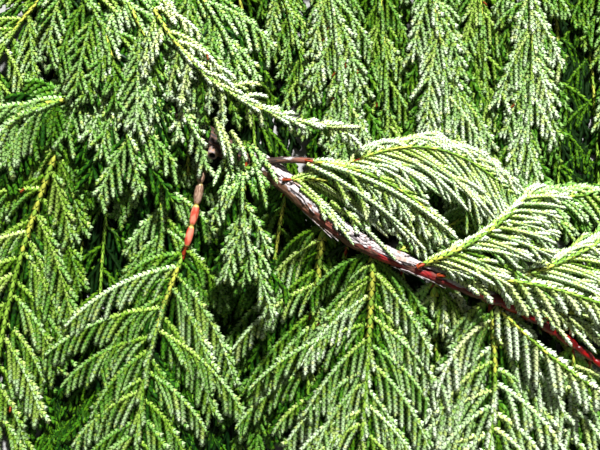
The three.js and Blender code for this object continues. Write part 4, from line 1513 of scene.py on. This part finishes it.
def twigMaterial(name, oldTone, paleTone, ripeTones, neckTone):
    material, tree, shader = newMaterial(name)
    space, ripe, belly = (attributeOf(tree, key) for key in ("barkSpace", "ripe", "belly"))
    patch = grainOf(tree, space, 0.5, 4, (1, 1, 0.4))
    fine = grainOf(tree, space, 2.4, 3, (1, 1, 0.25))
    ripened = tonesOf(tree, patch, 0.42, 0.58, *(colour(*tone) for tone in ripeTones))
    old = tonesOf(tree, fine, 0.4, 0.6, colour(*oldTone), colour(*paleTone))
    necked = mathOf(
        tree, "MULTIPLY", rangeOf(tree, belly, 0.72, 0.4), rangeOf(tree, ripe, 0.0, 0.5, 0.4, 0.9), True
    )
    tone = mixOf(tree, necked, mixOf(tree, ripe, old, ripened), colour(*neckTone))
    finish(tree, shader, tone, rangeOf(tree, fine, 0.3, 0.7, 0.35, 0.55), fine, 0.4, 0.2)
    return material


stemBark = barkMaterial("old_bark")
sawnWood = sawnMaterial("sawn_wood")
olive = ((120, 122, 52), (164, 164, 84))
twigBark = {
    "left_twig": twigMaterial(
        "jointed_twig", (104, 80, 62), (156, 128, 106), ((164, 62, 44), (206, 116, 92)), (176, 160, 72)
    ),
    "far_left_twig": twigMaterial("olive_twig", *olive, olive, (128, 110, 48)),
}
for name in limbs:
    piece = pieceFromSheet(name + "_bark", limbSkin(name), [twigBark.get(name, stemBark), sawnWood])
    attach(piece, "root")
    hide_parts(name)
for name, sheet, material in (
    ("loose_flakes", flakeSheet(), flakeMaterial("flake_bark")),
    ("broken_knot", knotSheet(), knotMaterial("knot_wood")),
):
    piece = pieceFromSheet(name, sheet, [material])
    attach(piece, "root")

# Floor, sun and sky
surroundings = {
    "floorSize": 4.0,  # metres
    "floorDrop": 0.0003,  # below the lowest shoot
    "floorGrey": (142, 142, 138),
    "floorRoughness": 0.9,
    "sun": 12.5,
    "sunAngle": 6,
    "sky": 0.15,
    "skyColour": (1.0, 1.0, 0.97, 1),
}
floorSheet = bmesh.new()
bmesh.ops.create_grid(floorSheet, x_segments=2, y_segments=2, size=surroundings["floorSize"] / 2)
floorMesh = bpy.data.meshes.new("floor")
floorSheet.to_mesh(floorMesh)
floorSheet.free()
floor = newObject("floor", floorMesh)
floor.location.z = -surroundings["floorDrop"]
floorMaterial, _, floorShader = newMaterial("floor")
floorShader.inputs["Base Color"].default_value = colour(*surroundings["floorGrey"])
floorShader.inputs["Roughness"].default_value = surroundings["floorRoughness"]
floorMesh.materials.append(floorMaterial)

sun = newObject("sun", bpy.data.lights.new("sun", "SUN"))
sun.data.energy = surroundings["sun"]
sun.data.angle = math.radians(surroundings["sunAngle"])
sun.rotation_euler = sunWay.to_track_quat("Z", "Y").to_euler()

world = bpy.data.worlds.new("world")
world.use_nodes = True
background = world.node_tree.nodes["Background"]
background.inputs["Color"].default_value = surroundings["skyColour"]
background.inputs["Strength"].default_value = surroundings["sky"]
bpy.context.scene.world = world
bpy.context.scene.view_settings.view_transform = "Standard"
print("floor, sun and sky are set")
